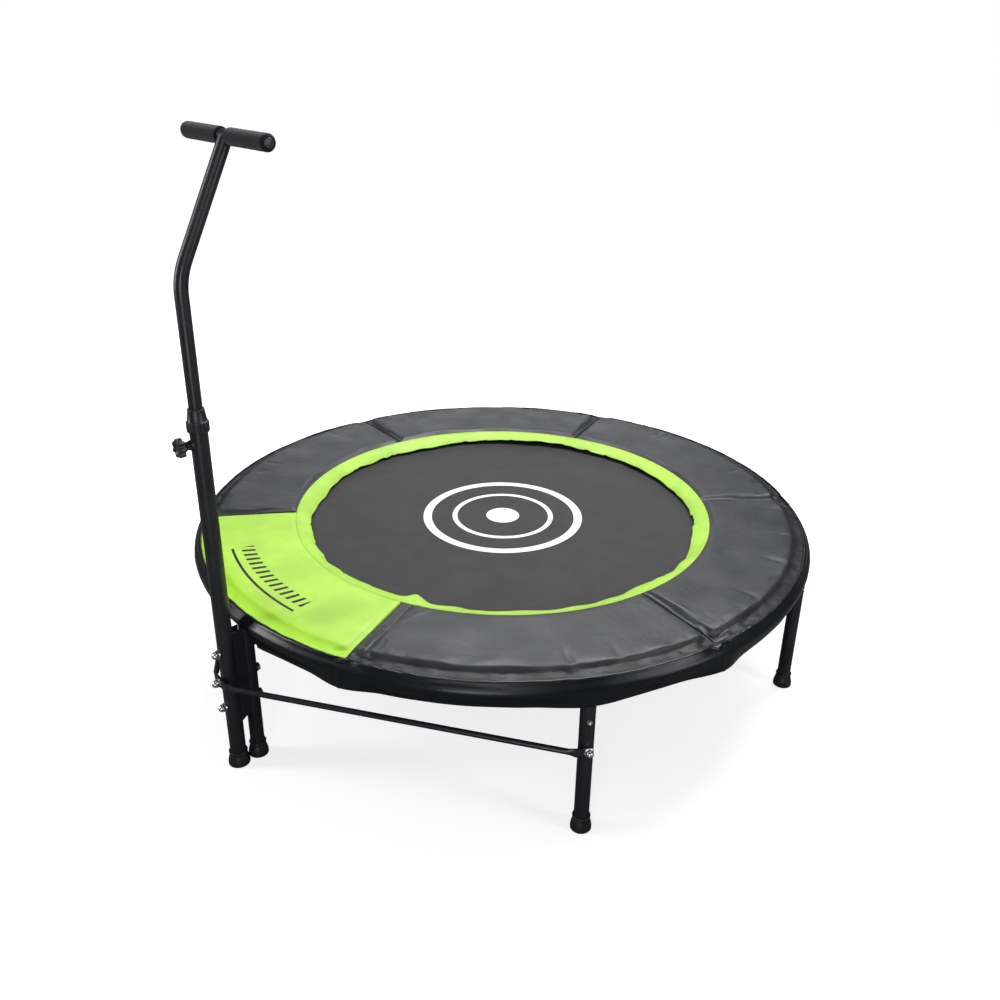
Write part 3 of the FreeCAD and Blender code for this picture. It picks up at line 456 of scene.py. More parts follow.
def green_vinyl(name="green_vinyl", printed=False):
    """Lime green; the wide section carries a printed row of slanted bars over a thin rule."""
    finish = vinyl(name, (0.345, 0.585, 0.066), 0.5, specular=0.35)
    # painted light: towards the outer edge the green turns darker and more saturated, standing in for light
    # through the thin vinyl
    edge = finish.uneven_edge(24.0, 0.02, PAD_OUTER - 0.05, PAD_OUTER - 0.005)
    colour = finish.mix(edge, finish.tint, (0.31, 0.60, 0.025, 1.0))
    if printed:
        colour = finish.mix(printed_bars(finish), colour, (0.008, 0.009, 0.008, 1.0))
    finish.feed("Base Color", colour)
    return finish.material


BARS_MIDDLE = -97.0  # degrees
BARS_HALF_SPAN = 14.0
BARS_RADIUS = (0.508, 0.532)
RULE_RADIUS = (0.545, 0.550)
BAR_PITCH = 2.0
BAR_SHARE = 0.42
BAR_SLANT = 28.0  # degrees of turn per metre of radius


def printed_bars(finish):
    """Share of print: slanted bars between two radii, and a rule outside them."""
    x, y, _ = finish.axes()
    radius = finish.from_middle()
    angle = finish.math("MULTIPLY", finish.math("ARCTAN2", y, x), 180 / math.pi)
    offset = finish.math("SUBTRACT", angle, BARS_MIDDLE)
    slanted = finish.math("ADD", offset, finish.math("MULTIPLY", radius, BAR_SLANT))
    phase = finish.math("FRACT", finish.math("DIVIDE", finish.math("ADD", slanted, 360.0), BAR_PITCH))
    bars = finish.math("LESS_THAN", phase, BAR_SHARE)
    inside = finish.math("LESS_THAN", finish.math("ABSOLUTE", offset), BARS_HALF_SPAN)

    def band(limits):
        above = finish.math("GREATER_THAN", radius, limits[0])
        below = finish.math("LESS_THAN", radius, limits[1])
        return finish.math("MULTIPLY", above, below)

    row = finish.math("MULTIPLY", bars, band(BARS_RADIUS))
    return finish.math("MULTIPLY", finish.math("MAXIMUM", row, band(RULE_RADIUS)), inside)


def skirt_vinyl():
    return vinyl("skirt_vinyl", (0.0045, 0.0055, 0.0080), 0.3, specular=0.36).material


def backing_sheet():
    finish = Finish("backing_sheet", (0.014, 0.014, 0.015), 0.6, specular=0.35)
    finish.vary_colour(20.0, 0.8, 1.3)
    finish.bump(finish.weave(0.003), 0.0002, 0.6)
    return finish.material


def thread(name, colour):
    finish = Finish(name, colour, 0.6, specular=0.3)
    finish.vary_colour(600.0, 0.75, 1.2)
    finish.bump(finish.noise(3000.0, 2.0), 0.0001)
    return finish.material


# ---------------------------------------------------------------- the pads: shape before the cloth

ROW_STEP = 0.0048  # metres between points, outward
COLUMN_STEP = 0.0042  # and along the pad
COVER_ROWS = round((PAD_OUTER - PAD_INNER) / ROW_STEP) + 1
COVER_COLUMNS = round(math.radians(SECTION_ANGLE) * (PAD_OUTER + PAD_INNER) / 2 / COLUMN_STEP) + 1
INNER_SEAM_HEIGHT = TRIM_TOP - 0.001
FOAM_TOP = PAD_TOP - 0.001
FOAM_INNER_INSET = 0.004
FOAM_OUTER_INSET = 0.019
FOAM_SIDE_INSET = 0.009
FOAM_EDGE_ROUNDING = 0.011
FLAT_STRIP = 0.026  # beside the green section, the front right section starts with an empty strip
GREEN_CROWN = 0.45  # the green section is this share as thick as the others
COVER_GAP = 0.0015  # between foam and cover
COVER_SHEET = 0.0007
SEAM_PULL = 0.0055  # each radial seam pulls the pad's outer edge in by this much
SEAM_DROP = 0.6  # and down by this share of it
SEAM_PULL_SPREAD = 2.2  # degrees either side of the seam
SEAM_PULL_REACH = 0.035  # inward from the outer seam
CREASE_RADIUS = 0.52  # where the empty strip's width is measured
FOAM_SINK = 0.6  # share of the foam's height that is left under the finished covers
PUCKER_HEIGHT = 0.0030  # of the small creases between foam and outer seam
EDGE_WAVE_HEIGHT = 0.0034  # of the waves along the foam's outer edge
DENT_HEIGHT = 0.0030  # of broad dents on the foam
KNOTS = 5  # tight little folds on a section's outer foam edge
KNOT_HEIGHTS = (0.002, 0.0045)
KNOT_FOLD_DEPTH = 0.0016
GREEN_CREASES = 0.3  # the green section has this share of the creases
GREEN_GROWTH = 0.35  # and of the extra cloth
FOAM_END_GAP = 0.8  # degrees between a foam insert and its section's ends


def seam_height(radius):
    share = (radius - PAD_INNER) / (PAD_OUTER - PAD_INNER)
    return INNER_SEAM_HEIGHT + (SEAM_HEIGHT - INNER_SEAM_HEIGHT) * share


def start_inset(name):
    return FLAT_STRIP if name == "front_right" else FOAM_SIDE_INSET


def pad_grid(rows, columns, start, end, inner, outer):
    """(radius, angle) of a grid over a sector."""
    radius = np.linspace(inner, outer, rows)[:, None]
    angle = np.linspace(start, end, columns)[None, :]
    return np.broadcast_arrays(radius, angle)


def foam_share(name, first_angle, radius, angle):
    """How high the foam stands at a place, 0 outside it to 1 in its middle."""
    along = np.radians(angle - first_angle) * radius
    length = math.radians(SECTION_ANGLE) * radius
    distance = np.minimum.reduce(
        [
            radius - PAD_INNER - FOAM_INNER_INSET,
            PAD_OUTER - radius - FOAM_OUTER_INSET,
            along - start_inset(name),
            length - along - FOAM_SIDE_INSET,
        ]
    )
    inside = np.clip(distance / FOAM_EDGE_ROUNDING, 0, 1)
    return np.sqrt(1 - (1 - inside) ** 2)


def pad_height(name, first_angle, radius, angle):
    share = foam_share(name, first_angle, radius, angle)
    if name == "front":
        share = share * GREEN_CROWN
    base = seam_height(radius)
    return base + (FOAM_TOP - base) * share


def cover_grid(first_angle):
    """(radius, angle) of the points of one section's cover."""
    start = first_angle + SEAM_GAP / 2
    end = first_angle + SECTION_ANGLE - SEAM_GAP / 2
    return pad_grid(COVER_ROWS, COVER_COLUMNS, start, end, PAD_INNER, PAD_OUTER)


def cover_start(name, first_angle):
    """Points of a section's cover before it is draped, row by row outward."""
    radius, angle = cover_grid(first_angle)
    height = pad_height(name, first_angle, radius, angle)
    pull = smooth_step(radius, PAD_OUTER - SEAM_PULL_REACH, PAD_OUTER)
    radius = radius - seam_pull(angle) * pull
    return polar(radius, angle, height - SEAM_DROP * seam_pull(angle) * pull)


def seam_pull(angle):
    """How far each radial seam pulls the pad's outer edge inward."""
    return SEAM_PULL * hump(angle, SEAM_ANGLES, SEAM_PULL_SPREAD)


def creases(name, first_angle, seed):
    """Change of a cover's height: puckers outside the foam, knots on its edge and broad dents."""
    radius, angle = cover_grid(first_angle)
    flat = polar(radius, angle, 0.0)
    strip = np.exp(-(((radius - PAD_OUTER + 0.010) / 0.008) ** 2))
    edge = np.exp(-(((radius - PAD_OUTER + 0.026) / 0.010) ** 2))
    sides = np.abs(gap_between(angle, first_angle + SECTION_ANGLE / 2)) / (SECTION_ANGLE / 2)
    gathered = 0.55 + 0.9 * smooth_step(sides, 0.6, 1.0)
    change = wobble(flat, 62.0, seed) * PUCKER_HEIGHT * strip * gathered
    change = change + wobble(flat, 34.0, seed + 9) * EDGE_WAVE_HEIGHT * edge * gathered
    on_foam = foam_share(name, first_angle, radius, angle)
    change = change + wobble(flat, 11.0, seed + 17) * DENT_HEIGHT * on_foam
    random = np.random.default_rng(int(seed))
    for middle in random.uniform(angle[0, 0] + 2, angle[0, -1] - 2, KNOTS):
        along = np.radians(gap_between(angle, middle)) * radius
        outward = radius - PAD_OUTER + random.uniform(0.016, 0.024)
        knot = np.exp(-((along / 0.006) ** 2) - (outward / 0.007) ** 2)
        fold = np.exp(-((along / 0.005) ** 2) - ((outward + 0.02) / 0.024) ** 2)
        change = change + random.uniform(*KNOT_HEIGHTS) * knot - KNOT_FOLD_DEPTH * fold
    change = change * (GREEN_CREASES if name == "front" else 1.0)
    fade = smooth_step(radius, PAD_INNER, PAD_INNER + 0.012) * smooth_step(PAD_OUTER - radius, 0, 0.004)
    return change * fade * smooth_step(1 - sides, 0, 0.04)


def cover_pins(name):
    """True for the points that the seams hold."""
    pins = np.zeros((COVER_ROWS, COVER_COLUMNS), bool)
    pins[[0, -1], :] = True
    pins[:, [0, -1]] = True
    if name == "front_right":
        crease = round(FLAT_STRIP / math.radians(SECTION_ANGLE) / CREASE_RADIUS * (COVER_COLUMNS - 1))
        pins[:, crease] = True
    return pins


def cover_growth(name):
    """Extra cloth at each point, 0 to 1: much where it gathers at the outer seam, little in the middle."""
    row = np.linspace(0, 1, COVER_ROWS)[:, None]
    column = np.linspace(0, 1, COVER_COLUMNS)[None, :]
    outer = smooth_step(row, 0.72, 0.95)
    sides = smooth_step(np.abs(column - 0.5), 0.38, 0.5)
    growth = 0.02 + 0.98 * np.maximum(outer, 0.4 * sides)
    return growth * (GREEN_GROWTH if name == "front" else 1.0)


# ---------------------------------------------------------------- the pads: cloth over foam

FOAM_ROWS = 24
FOAM_COLUMNS = 80
CLOTH_FRAMES = 20
LARGEST_MOVE = 0.008
LEAST_GROWTH = 0.002
MOST_GROWTH = 0.05
COVER_PRESSURE = 0.15
COVER_GRAVITY = 1.0
CONTACT_GAP = 0.001


def upward(faces):
    return [tuple(reversed(face)) for face in faces]


def foam_block(name, first_angle):
    """(vertices, faces) of one foam insert: crowned top with round edges, flat bottom."""
    start = first_angle + FOAM_END_GAP
    end = first_angle + SECTION_ANGLE - FOAM_END_GAP
    inner = PAD_INNER + FOAM_INNER_INSET
    outer = PAD_OUTER - FOAM_OUTER_INSET
    radius, angle = pad_grid(FOAM_ROWS, FOAM_COLUMNS, start, end, inner, outer)
    top = pad_height(name, first_angle, radius, angle) - COVER_GAP
    bottom = np.full_like(top, PAD_BASE + 0.0002)
    points = [polar(radius, angle, height).reshape(-1, 3) for height in (top, bottom)]
    faces = upward(grid_faces(FOAM_ROWS, FOAM_COLUMNS))
    count = FOAM_ROWS * FOAM_COLUMNS
    faces += [tuple(count + corner for corner in reversed(face)) for face in list(faces)]
    index = np.arange(count).reshape(FOAM_ROWS, FOAM_COLUMNS)
    rim = np.concatenate([index[0], index[1:, -1], index[-1, -2::-1], index[-2:0:-1, 0]]).tolist()
    for here, after in zip(rim, rim[1:] + rim[:1]):
        faces.append((here, after, after + count, here + count))
    return np.concatenate(points), faces


def weigh(piece, name, weights):
    group = piece.vertex_groups.new(name=name)
    for index, weight in enumerate(weights):
        if weight > 0:
            group.add([index], float(weight), "REPLACE")


def cover_cloth(points):
    """All six covers as one mesh, with the seams' points pinned."""
    count = COVER_ROWS * COVER_COLUMNS
    one = upward(grid_faces(COVER_ROWS, COVER_COLUMNS))
    starts = [count * number for number in range(len(SECTION_NAMES))]
    faces = [tuple(start + index for index in face) for start in starts for face in one]
    mesh = bpy.data.meshes.new("cover_cloth")
    mesh.from_pydata(points.tolist(), [], faces)
    cloth = bpy.data.objects.new("cover_cloth", mesh)
    bpy.context.scene.collection.objects.link(cloth)
    weigh(cloth, "pinned", np.concatenate([cover_pins(name).ravel() for name in SECTION_NAMES]))
    weigh(cloth, "growth", np.concatenate([cover_growth(name).ravel() for name in SECTION_NAMES]))
    return cloth


def set_cloth(modifier):
    """Thin coated cloth that grows towards the outer seam, blown up weakly from below."""
    settings = modifier.settings
    settings.quality = 4
    settings.mass = 0.3
    settings.tension_stiffness = 15
    settings.compression_stiffness = 15
    settings.shear_stiffness = 5
    settings.bending_stiffness = 1.2
    settings.vertex_group_mass = "pinned"
    settings.vertex_group_shrink = "growth"
    settings.shrink_min = -LEAST_GROWTH
    settings.shrink_max = -MOST_GROWTH
    settings.use_pressure = True
    settings.uniform_pressure_force = COVER_PRESSURE
    settings.effector_weights.gravity = COVER_GRAVITY
    modifier.collision_settings.distance_min = CONTACT_GAP
    modifier.point_cache.frame_start = 1
    modifier.point_cache.frame_end = CLOTH_FRAMES


def drape(covers, foam):
    """Cloth simulation of all covers at once: each has more cloth than its seams, and settles on the foam."""
    points = np.concatenate([cover.reshape(-1, 3) for cover in covers])
    cloth = cover_cloth(points)
    set_cloth(cloth.modifiers.new("cloth", "CLOTH"))
    foam.modifiers.new("collision", "COLLISION")
    foam.collision.thickness_outer = CONTACT_GAP
    scene = bpy.context.scene
    for number in range(1, CLOTH_FRAMES + 1):
        scene.frame_set(number)
    draped = cloth.evaluated_get(bpy.context.evaluated_depsgraph_get())
    settled = np.zeros(points.size, np.float32)
    draped.data.vertices.foreach_get("co", settled)
    bpy.data.objects.remove(cloth)
    foam.modifiers.clear()
    scene.frame_set(1)
    moves = settled.reshape(-1, 3) - points
    length = np.linalg.norm(moves, axis=1, keepdims=True)
    moves *= np.minimum(1, LARGEST_MOVE / np.maximum(length, 1e-9))
    return (points + moves).reshape(np.shape(covers))


def sink_foam(foam):
    """Leaves room between the foam and the creases of its covers."""
    for vertex in foam.data.vertices:
        vertex.co.z = PAD_BASE + (vertex.co.z - PAD_BASE) * FOAM_SINK


def with_walls(top):
    """A cover's top with short walls down to the backing, as a wider grid."""
    grid = np.pad(top, ((2, 2), (2, 2), (0, 0)), mode="edge")
    low = PAD_BASE + 0.0003
    middle = (grid[..., 2] + low) / 2
    for layer, height in ((1, middle), (0, np.full_like(middle, low))):
        for index in (layer, -1 - layer):
            grid[index, :, 2] = np.minimum(grid[index, :, 2], height[index, :])
            grid[:, index, 2] = np.minimum(grid[:, index, 2], height[:, index])
    return grid


def make_pads(looks):
    blocks = [foam_block(name, angle) for name, angle in zip(SECTION_NAMES, SEAM_ANGLES)]
    foam = joined("foam_inserts", blocks, looks["foam"])
    covers = np.array([cover_start(name, angle) for name, angle in zip(SECTION_NAMES, SEAM_ANGLES)])
    covers = drape(covers, foam)
    sink_foam(foam)
    finish_piece(foam, "frame", "pad_foam", "pad_foam")
    for number, (name, top) in enumerate(zip(SECTION_NAMES, covers)):
        top[..., 2] += creases(name, SEAM_ANGLES[number], 50.0 + 30 * number)
        grid = with_walls(top)
        faces = upward(grid_faces(*grid.shape[:2]))
        green = name == "front"
        piece = new_piece(f"cover_{name}", grid, faces, looks["printed_green" if green else "grey"])
        subdivide(piece, 1)
        add_thickness(piece, COVER_SHEET)
        slot = "green_vinyl" if green else "grey_vinyl"
        finish_piece(piece, "frame", slot, f"pad_section_{name}")


def make_backing(looks):
    """Cloth ring under the foam, sagging a little between the springs."""
    rows = 30
    columns = 540
    radius, angle = pad_grid(rows, columns + 1, 0, 360, PAD_INNER + 0.0005, PAD_OUTER - 0.0005)
    radius, angle = radius[:, :-1], angle[:, :-1]
    sag = wobble(polar(radius, angle, 0.0), 35.0, 5.0) * 0.0006 - 0.0006
    sag *= smooth_step(radius, PAD_INNER, PAD_INNER + 0.02) * smooth_step(PAD_OUTER - radius, 0, 0.02)
    top = polar(radius, angle, PAD_BASE - 0.0002 + sag)
    faces = upward(grid_faces(rows, columns, wrap_columns=True))
    piece = new_piece("pad_backing_sheet", top, faces, looks["backing"])
    add_thickness(piece, 0.0006)
    finish_piece(piece, "frame", "backing_sheet", "pad_backing")


# ---------------------------------------------------------------- trim and skirt

TRIM_COLUMNS = 900
TRIM_SHARES = 14
TRIM_SHEET = 0.0011
TRIM_PLEATS = 34
PLEAT_SLOW_SIDE = 1.6  # degrees over which a pleat fades on one side
PLEAT_STEEP_SIDE = 0.25  # and on the other
TRIM_WIDTH = 0.028
TRIM_CLEARANCE = 0.0022  # least height of its loose edge over the mat
# Where its loose edge hangs out of round: middle and spread in degrees, how far inward, how far up
TRIM_SWAYS = (
    (-66.0, 2.5, 0.004, 0.009),  # tucked over, near the end of the green section
    (-4.0, 11.0, 0.006, 0.0),
    (-59.0, 5.0, 0.004, 0.0),
    (-35.0, 45.0, 0.0, 0.0035),
    (125.0, 50.0, 0.0, 0.0045),
)


def trim_edge(angle):
    """(radius, height) of the trim's loose inner edge: wavy, with pleats where the cloth is gathered."""
    ring = polar(np.ones_like(angle), angle, 0.0)
    radius = PAD_INNER - TRIM_WIDTH + wobble(ring, 2.2, 3.0) * 0.006 + wobble(ring, 9.0, 8.0) * 0.0045
    height = TRIM_LOW + 0.004 + wobble(ring, 2.8, 21.0) * 0.004 + wobble(ring, 11.0, 30.0) * 0.0022
    random = np.random.default_rng(7)
    for middle in random.uniform(-180, 180, TRIM_PLEATS):
        gap = gap_between(angle, middle) * random.choice([-1, 1])
        size = random.uniform(0.0012, 0.004)
        pleat = np.exp(np.where(gap > 0, -gap / PLEAT_SLOW_SIDE, gap / PLEAT_STEEP_SIDE))
        radius = radius + size * pleat
        height = height + 0.5 * size * pleat
    for middle, spread, inward, rise in TRIM_SWAYS:
        sway = hump(angle, [middle], spread)
        radius = radius - inward * sway
        height = height + rise * sway
    return radius, np.maximum(height, MAT_TOP + TRIM_CLEARANCE)


def trim_surface(angle, share, lift=0.0):
    """Point on the trim's top, share 0 at the pad to 1 at the loose edge."""
    edge_radius, edge_height = trim_edge(angle)
    start = PAD_INNER + 0.0015
    radius = start + (edge_radius - start) * share
    slope = share ** 1.35
    height = TRIM_TOP - 0.0006 + (edge_height - TRIM_TOP) * slope
    ripple = wobble(polar(radius, angle, 0.0), 42.0, 11.0) * 0.0013 * np.sin(np.pi * np.clip(share, 0, 1))
    return polar(radius, angle, height + ripple + lift)


def make_trim(looks):
    """Green strip from the pad's inner seam down to the mat, its loose edge folded under."""
    angle = np.linspace(0, 360, TRIM_COLUMNS, endpoint=False)
    top = [trim_surface(angle, share) for share in np.linspace(0, 1, TRIM_SHARES)]
    under = [trim_surface(angle, share, -TRIM_SHEET) for share in np.linspace(1, 0, TRIM_SHARES)]
    nose = trim_surface(angle, 1.035, -TRIM_SHEET / 2)
    rows = np.array(top + [nose] + under)
    faces = grid_faces(len(rows), TRIM_COLUMNS, wrap_rows=True, wrap_columns=True)
    piece = new_piece("green_trim", rows, faces, looks["green"])
    finish_piece(piece, "frame", "green_vinyl", "pad_trim")
    stitches = []
    for share in (0.16, 0.86):
        stitches += stitch_line(lambda a, s=share: trim_surface(a, s, 0.0001), 560)
    threads = joined("trim_stitches", stitches, looks["green_thread"])
    finish_piece(threads, "frame", "green_vinyl")


def stitch_line(place, count, fill=0.62):
    """Short raised threads along a closed line. place(angle) gives points on the cloth."""
    step = 360 / count
    starts = place(np.arange(count) * step)
    middles = place(np.arange(count) * step + step * fill / 2) + np.array([0, 0, 0.0003])
    ends = place(np.arange(count) * step + step * fill)
    return [wire([a, b, c], 0.00028, sides=5) for a, b, c in zip(starts, middles, ends)]


SKIRT_COLUMNS = 1080
SKIRT_ROWS = 26
SKIRT_SHEET = 0.0011
ROLL_RADIUS = 0.0048
ROLL_SHARE = 0.24  # share of the skirt's rows in the roll under the seam
ROLL_START = 165  # degrees round the roll, from the pad's seam over its top
ROLL_END = 15
ROLL_OUT = 0.0015  # from the pad's seam to the roll's centre
ROLL_DROP = 0.0035
RING_CLEARANCE = 0.0021
SKIRT_SLACK = 0.0115  # how far its lower edge pulls in between legs and seams
SKIRT_OUT_AT_LEGS = 0.0112
SKIRT_OUT_AT_SEAMS = 0.0165
NOTCH_TOP_HALF = 3.83  # degrees either side of the handle's bracket
NOTCH_SPREAD = 1.2  # degrees wider at the bottom
NOTCH_TOP_SHARE = 0.54


def skirt_edge_radius(angle):
    """The lower edge stands out at the legs and at the section seams, and pulls in between."""
    legs = hump(angle, LEG_ANGLES, 6.5) * SKIRT_OUT_AT_LEGS
    seams = hump(angle, SEAM_ANGLES, 4.5) * SKIRT_OUT_AT_SEAMS
    return SKIRT_RADIUS - SKIRT_SLACK + np.maximum(legs, seams)


def skirt_surface(angle, share):
    """Point on the skirt, share 0 at the pad's seam to 1 at its lower edge: a roll, then a fall."""
    ring = polar(np.ones_like(angle), angle, 0.0)
    turn = np.radians(ROLL_START + (ROLL_END - ROLL_START) * np.clip(share / ROLL_SHARE, 0, 1))
    roll = ROLL_RADIUS * (1 + 0.25 * wobble(ring, 7.0, 40.0))
    pull = seam_pull(angle)
    centre_radius = PAD_OUTER + ROLL_OUT - pull
    centre_height = SEAM_HEIGHT - ROLL_DROP - SEAM_DROP * pull
    roll_radius = centre_radius + roll * np.cos(turn)
    roll_height = centre_height + roll * np.sin(turn)
    fall = np.clip((share - ROLL_SHARE) / (1 - ROLL_SHARE), 0, 1)
    start_radius = centre_radius + roll * math.cos(math.radians(ROLL_END))
    start_height = centre_height + roll * math.sin(math.radians(ROLL_END))
    lowest = SKIRT_LOW - 0.0022 + 0.0035 * hump(angle, SEAM_ANGLES, 5.0)
    fall_height = start_height + (lowest - start_height) * fall
    outermost = RING_RADIUS + TUBE_RADIUS + RING_CLEARANCE
    above = np.clip((start_height - fall_height) / (start_height - RING_HEIGHT), 0, 1)
    below = smooth_step(RING_HEIGHT - fall_height, 0, RING_HEIGHT - SKIRT_LOW)
    fall_radius = start_radius + (outermost - start_radius) * above
    fall_radius = fall_radius + (skirt_edge_radius(angle) - outermost) * below
    radius = np.where(share < ROLL_SHARE, roll_radius, fall_radius)
    height = np.where(share < ROLL_SHARE, roll_height, fall_height)
    along = np.stack([ring[..., 0] * 14, ring[..., 1] * 14, share * 1.3 + 0 * angle], -1)
    folds = wobble(along, 1.0, 60.0)
    radius = radius + folds * 0.0011 * smooth_step(share, 0.15, 0.6)
    gather = wobble(ring, 30.0, 71.0) * 0.0022 + wobble(ring, 75.0, 75.0) * 0.0011
    height = height + gather * np.exp(-((share / 0.14) ** 2))
    seam_ridge = hump(angle, SEAM_ANGLES, 0.22) * 0.0013
    radius = radius + seam_ridge * smooth_step(share, 0.3, 0.5)
    reach = TUBE_RADIUS + RING_CLEARANCE
    off_centre = np.clip(1 - ((height - RING_HEIGHT) / reach) ** 2, 0, 1)
    over_ring = RING_RADIUS + reach * np.sqrt(off_centre)
    return polar(np.maximum(radius, over_ring), angle, height)


def notch_spread(angle, share):
    """Pushes the columns beside the handle's bracket apart towards the bottom: the opening's sides slant."""
    gap = gap_between(angle, HANDLE_ANGLE)
    depth = smooth_step(share, NOTCH_TOP_SHARE - 0.02, 1.0)
    near = np.exp(-((np.abs(gap) - NOTCH_TOP_HALF) / 5.0) ** 2)
    return angle + np.sign(gap) * NOTCH_SPREAD * depth * near


def make_skirt(looks):
    angle = HANDLE_ANGLE + np.linspace(0, 360, SKIRT_COLUMNS, endpoint=False)
    share = np.linspace(0, 1, SKIRT_ROWS)
    share[np.argmin(np.abs(share - NOTCH_TOP_SHARE))] = NOTCH_TOP_SHARE
    rows = np.array([skirt_surface(notch_spread(angle, s), s) for s in share])
    middle = gap_between(angle + 180 / SKIRT_COLUMNS, HANDLE_ANGLE)

    def keep(row, column):
        return share[row] < NOTCH_TOP_SHARE or abs(middle[column]) > NOTCH_TOP_HALF

    faces = upward(grid_faces(SKIRT_ROWS, SKIRT_COLUMNS, wrap_columns=True, keep=keep))
    piece = new_piece("black_skirt", rows, faces, looks["skirt"])
    add_thickness(piece, SKIRT_SHEET)
    finish_piece(piece, "frame", "skirt_vinyl", "pad_skirt")


TIE_TURN = 10.0  # degrees past the middle between two legs
TIE_WIDTH = 0.025


def make_ties(looks):
    """Elastic straps round the ring's inner side and under it, from the pad's underside to the skirt."""
    lowest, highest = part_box("pad_ties")
    low = lowest.z + 0.0007
    inner = RING_RADIUS - TUBE_RADIUS - 0.0006
    path = [(inner, highest.z), (inner, RING_HEIGHT), (inner, low + 0.008), (inner + 0.0015, low + 0.0025)]
    path += [(inner + 0.005, low + 0.0004), (RING_RADIUS - 0.004, low), (RING_RADIUS + 0.0055, low)]
    half_angle = math.degrees(TIE_WIDTH / 2 / RING_RADIUS)
    across = np.linspace(-half_angle, half_angle, 9)
    shapes = []
    for leg in LEG_ANGLES:
        angle = leg + SECTION_ANGLE / 2 + TIE_TURN
        rows = np.array([polar(radius, angle + across, height) for radius, height in path])
        shapes.append((rows, grid_faces(len(path), len(across))))
    piece = joined("elastic_ties", shapes, looks["webbing"])
    subdivide(piece, 2)
    add_thickness(piece, 0.0009, 0.0)
    finish_piece(piece, "frame", "hem_webbing", "pad_ties")


# ---------------------------------------------------------------- mat and springs

HOOK_RADIUS = 0.0044
SPRING_WIRE = 0.0010
RING_WIRE = 0.0014
WIRE_RING_LENGTH = 0.022
WIRE_RING_WIDTH = 0.016
RING_BAR_RADIUS = SPRINGS_INNER + HOOK_RADIUS + SPRING_WIRE  # where the springs hook into the wire rings
ANCHOR_RADIUS = SPRINGS_OUTER - HOOK_RADIUS - SPRING_WIRE


def dish(piece, slot, *nodes):
    """Finishes a part of the mat: bakes its place into its points, reads them and hides the CAD nodes it
    replaces."""
    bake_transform(piece)
    points = np.zeros(len(piece.data.vertices) * 3, np.float32)
    piece.data.vertices.foreach_get("co", points)
    if nodes:
        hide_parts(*nodes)


def make_mat(looks):
    rings = 46
    steps = 240
    radius = np.linspace(0, MAT_RADIUS, rings)[1:, None]
    angle = np.linspace(0, 360, steps, endpoint=False)[None, :]
    tension = wobble(polar(radius, angle + 0 * radius, 0.0), 9.0, 90.0) * 0.0004
    top = polar(radius, angle, MAT_TOP + tension)
    bottom = polar(radius, angle, MAT_LOW + tension)
    middle = [np.broadcast_to([0.0, 0.0, height], (1, steps, 3)) for height in (MAT_TOP, MAT_LOW)]
    rows = np.concatenate([middle[0], top, bottom[::-1], middle[1]])
    faces = grid_faces(len(rows), steps, wrap_columns=True)
    dish(new_piece("jumping_mat", rows, faces, looks["mat"]), "mat_mesh", "mat")


def make_hem(looks):
    """Folded webbing round the mat's edge, with two rows of stitches on each side."""
    steps = 720
    inner = HEM_INNER
    middle = (HEM_LOW + HEM_TOP) / 2
    half = (HEM_TOP - HEM_LOW) / 2 - 0.0002
    slit = (MAT_TOP - MAT_LOW) / 2 + 0.0001
    outline = [(MAT_RADIUS + 0.0002, middle + slit), (inner, middle + slit)]
    outline += [(inner, middle + half * 0.8), (inner + 0.001, middle + half)]
    outline += arc(HEM_OUTER - half, middle, half, 90, -90, 7)
    outline += [(inner + 0.001, middle - half), (inner, middle - half * 0.8)]
    outline += [(inner, middle - slit), (MAT_RADIUS + 0.0002, middle - slit)]
    angle = np.linspace(0, 360, steps, endpoint=False)
    rows = []
    for radius, height in outline:
        pull = np.cos(np.radians(angle - SPRING_STEP / 2) * SPRING_COUNT) * 0.0006
        rows.append(polar(radius + pull, angle, height))
    faces = grid_faces(len(rows), steps, wrap_rows=True, wrap_columns=True)
    dish(new_piece("mat_edge_webbing", np.array(rows), faces, looks["webbing"]), "hem_webbing", "mat_hem")
    stitches = []
    for radius in (inner + 0.003, MAT_RADIUS + 0.004):
        for height in (HEM_TOP - 0.0001, HEM_LOW + 0.0001):
            stitches += stitch_line(lambda a, r=radius, h=height: polar(r, a, h), 540)
    dish(joined("mat_edge_stitches", stitches, looks["black_thread"]), "hem_webbing")


def at_springs(vertices, faces):
    """One shape, made on the +X side, repeated at every spring."""
    angles = [SPRING_STEP * (number + 0.5) for number in range(SPRING_COUNT)]
    return [(at_angle(vertices, angle), faces) for angle in angles]


def make_springs(looks):
    """Closely wound springs with a hook at each end, from the mat's wire rings to the ring's anchors."""
    low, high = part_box("springs")
    centre_line = (high.z - low.z) / 2 - SPRING_WIRE
    middle = (high.z + low.z) / 2
    top = middle + centre_line
    start = RING_BAR_RADIUS + HOOK_RADIUS + 0.004
    end = ANCHOR_RADIUS - HOOK_RADIUS - 0.004
    turns = round((end - start) / (2.08 * SPRING_WIRE))
    share = np.linspace(0, 1, turns * 12 + 1)
    phase = 2 * np.pi * turns * share
    along = start + (end - start) * share
    coil = np.stack([along, centre_line * np.sin(phase), middle + centre_line * np.cos(phase)], -1)

    def hook(bar, side, coil_end):
        """From the hook's tip, round its bar and up to the coil."""
        loop = [(bar + side * reach, 0, height) for reach, height in arc(0, middle, HOOK_RADIUS, 325, 35, 15)]
        neck = [(bar + side * 0.0062, 0, middle + 0.0035), (coil_end - side * 0.0006, 0, top - 0.0006)]
        return loop + neck

    line = np.vstack([hook(RING_BAR_RADIUS, 1, start), coil, hook(ANCHOR_RADIUS, -1, end)[::-1]])
    shapes = at_springs(*wire(line, SPRING_WIRE, sides=6))
    dish(joined("coil_springs", shapes, looks["steel"]), "spring_steel", "springs")


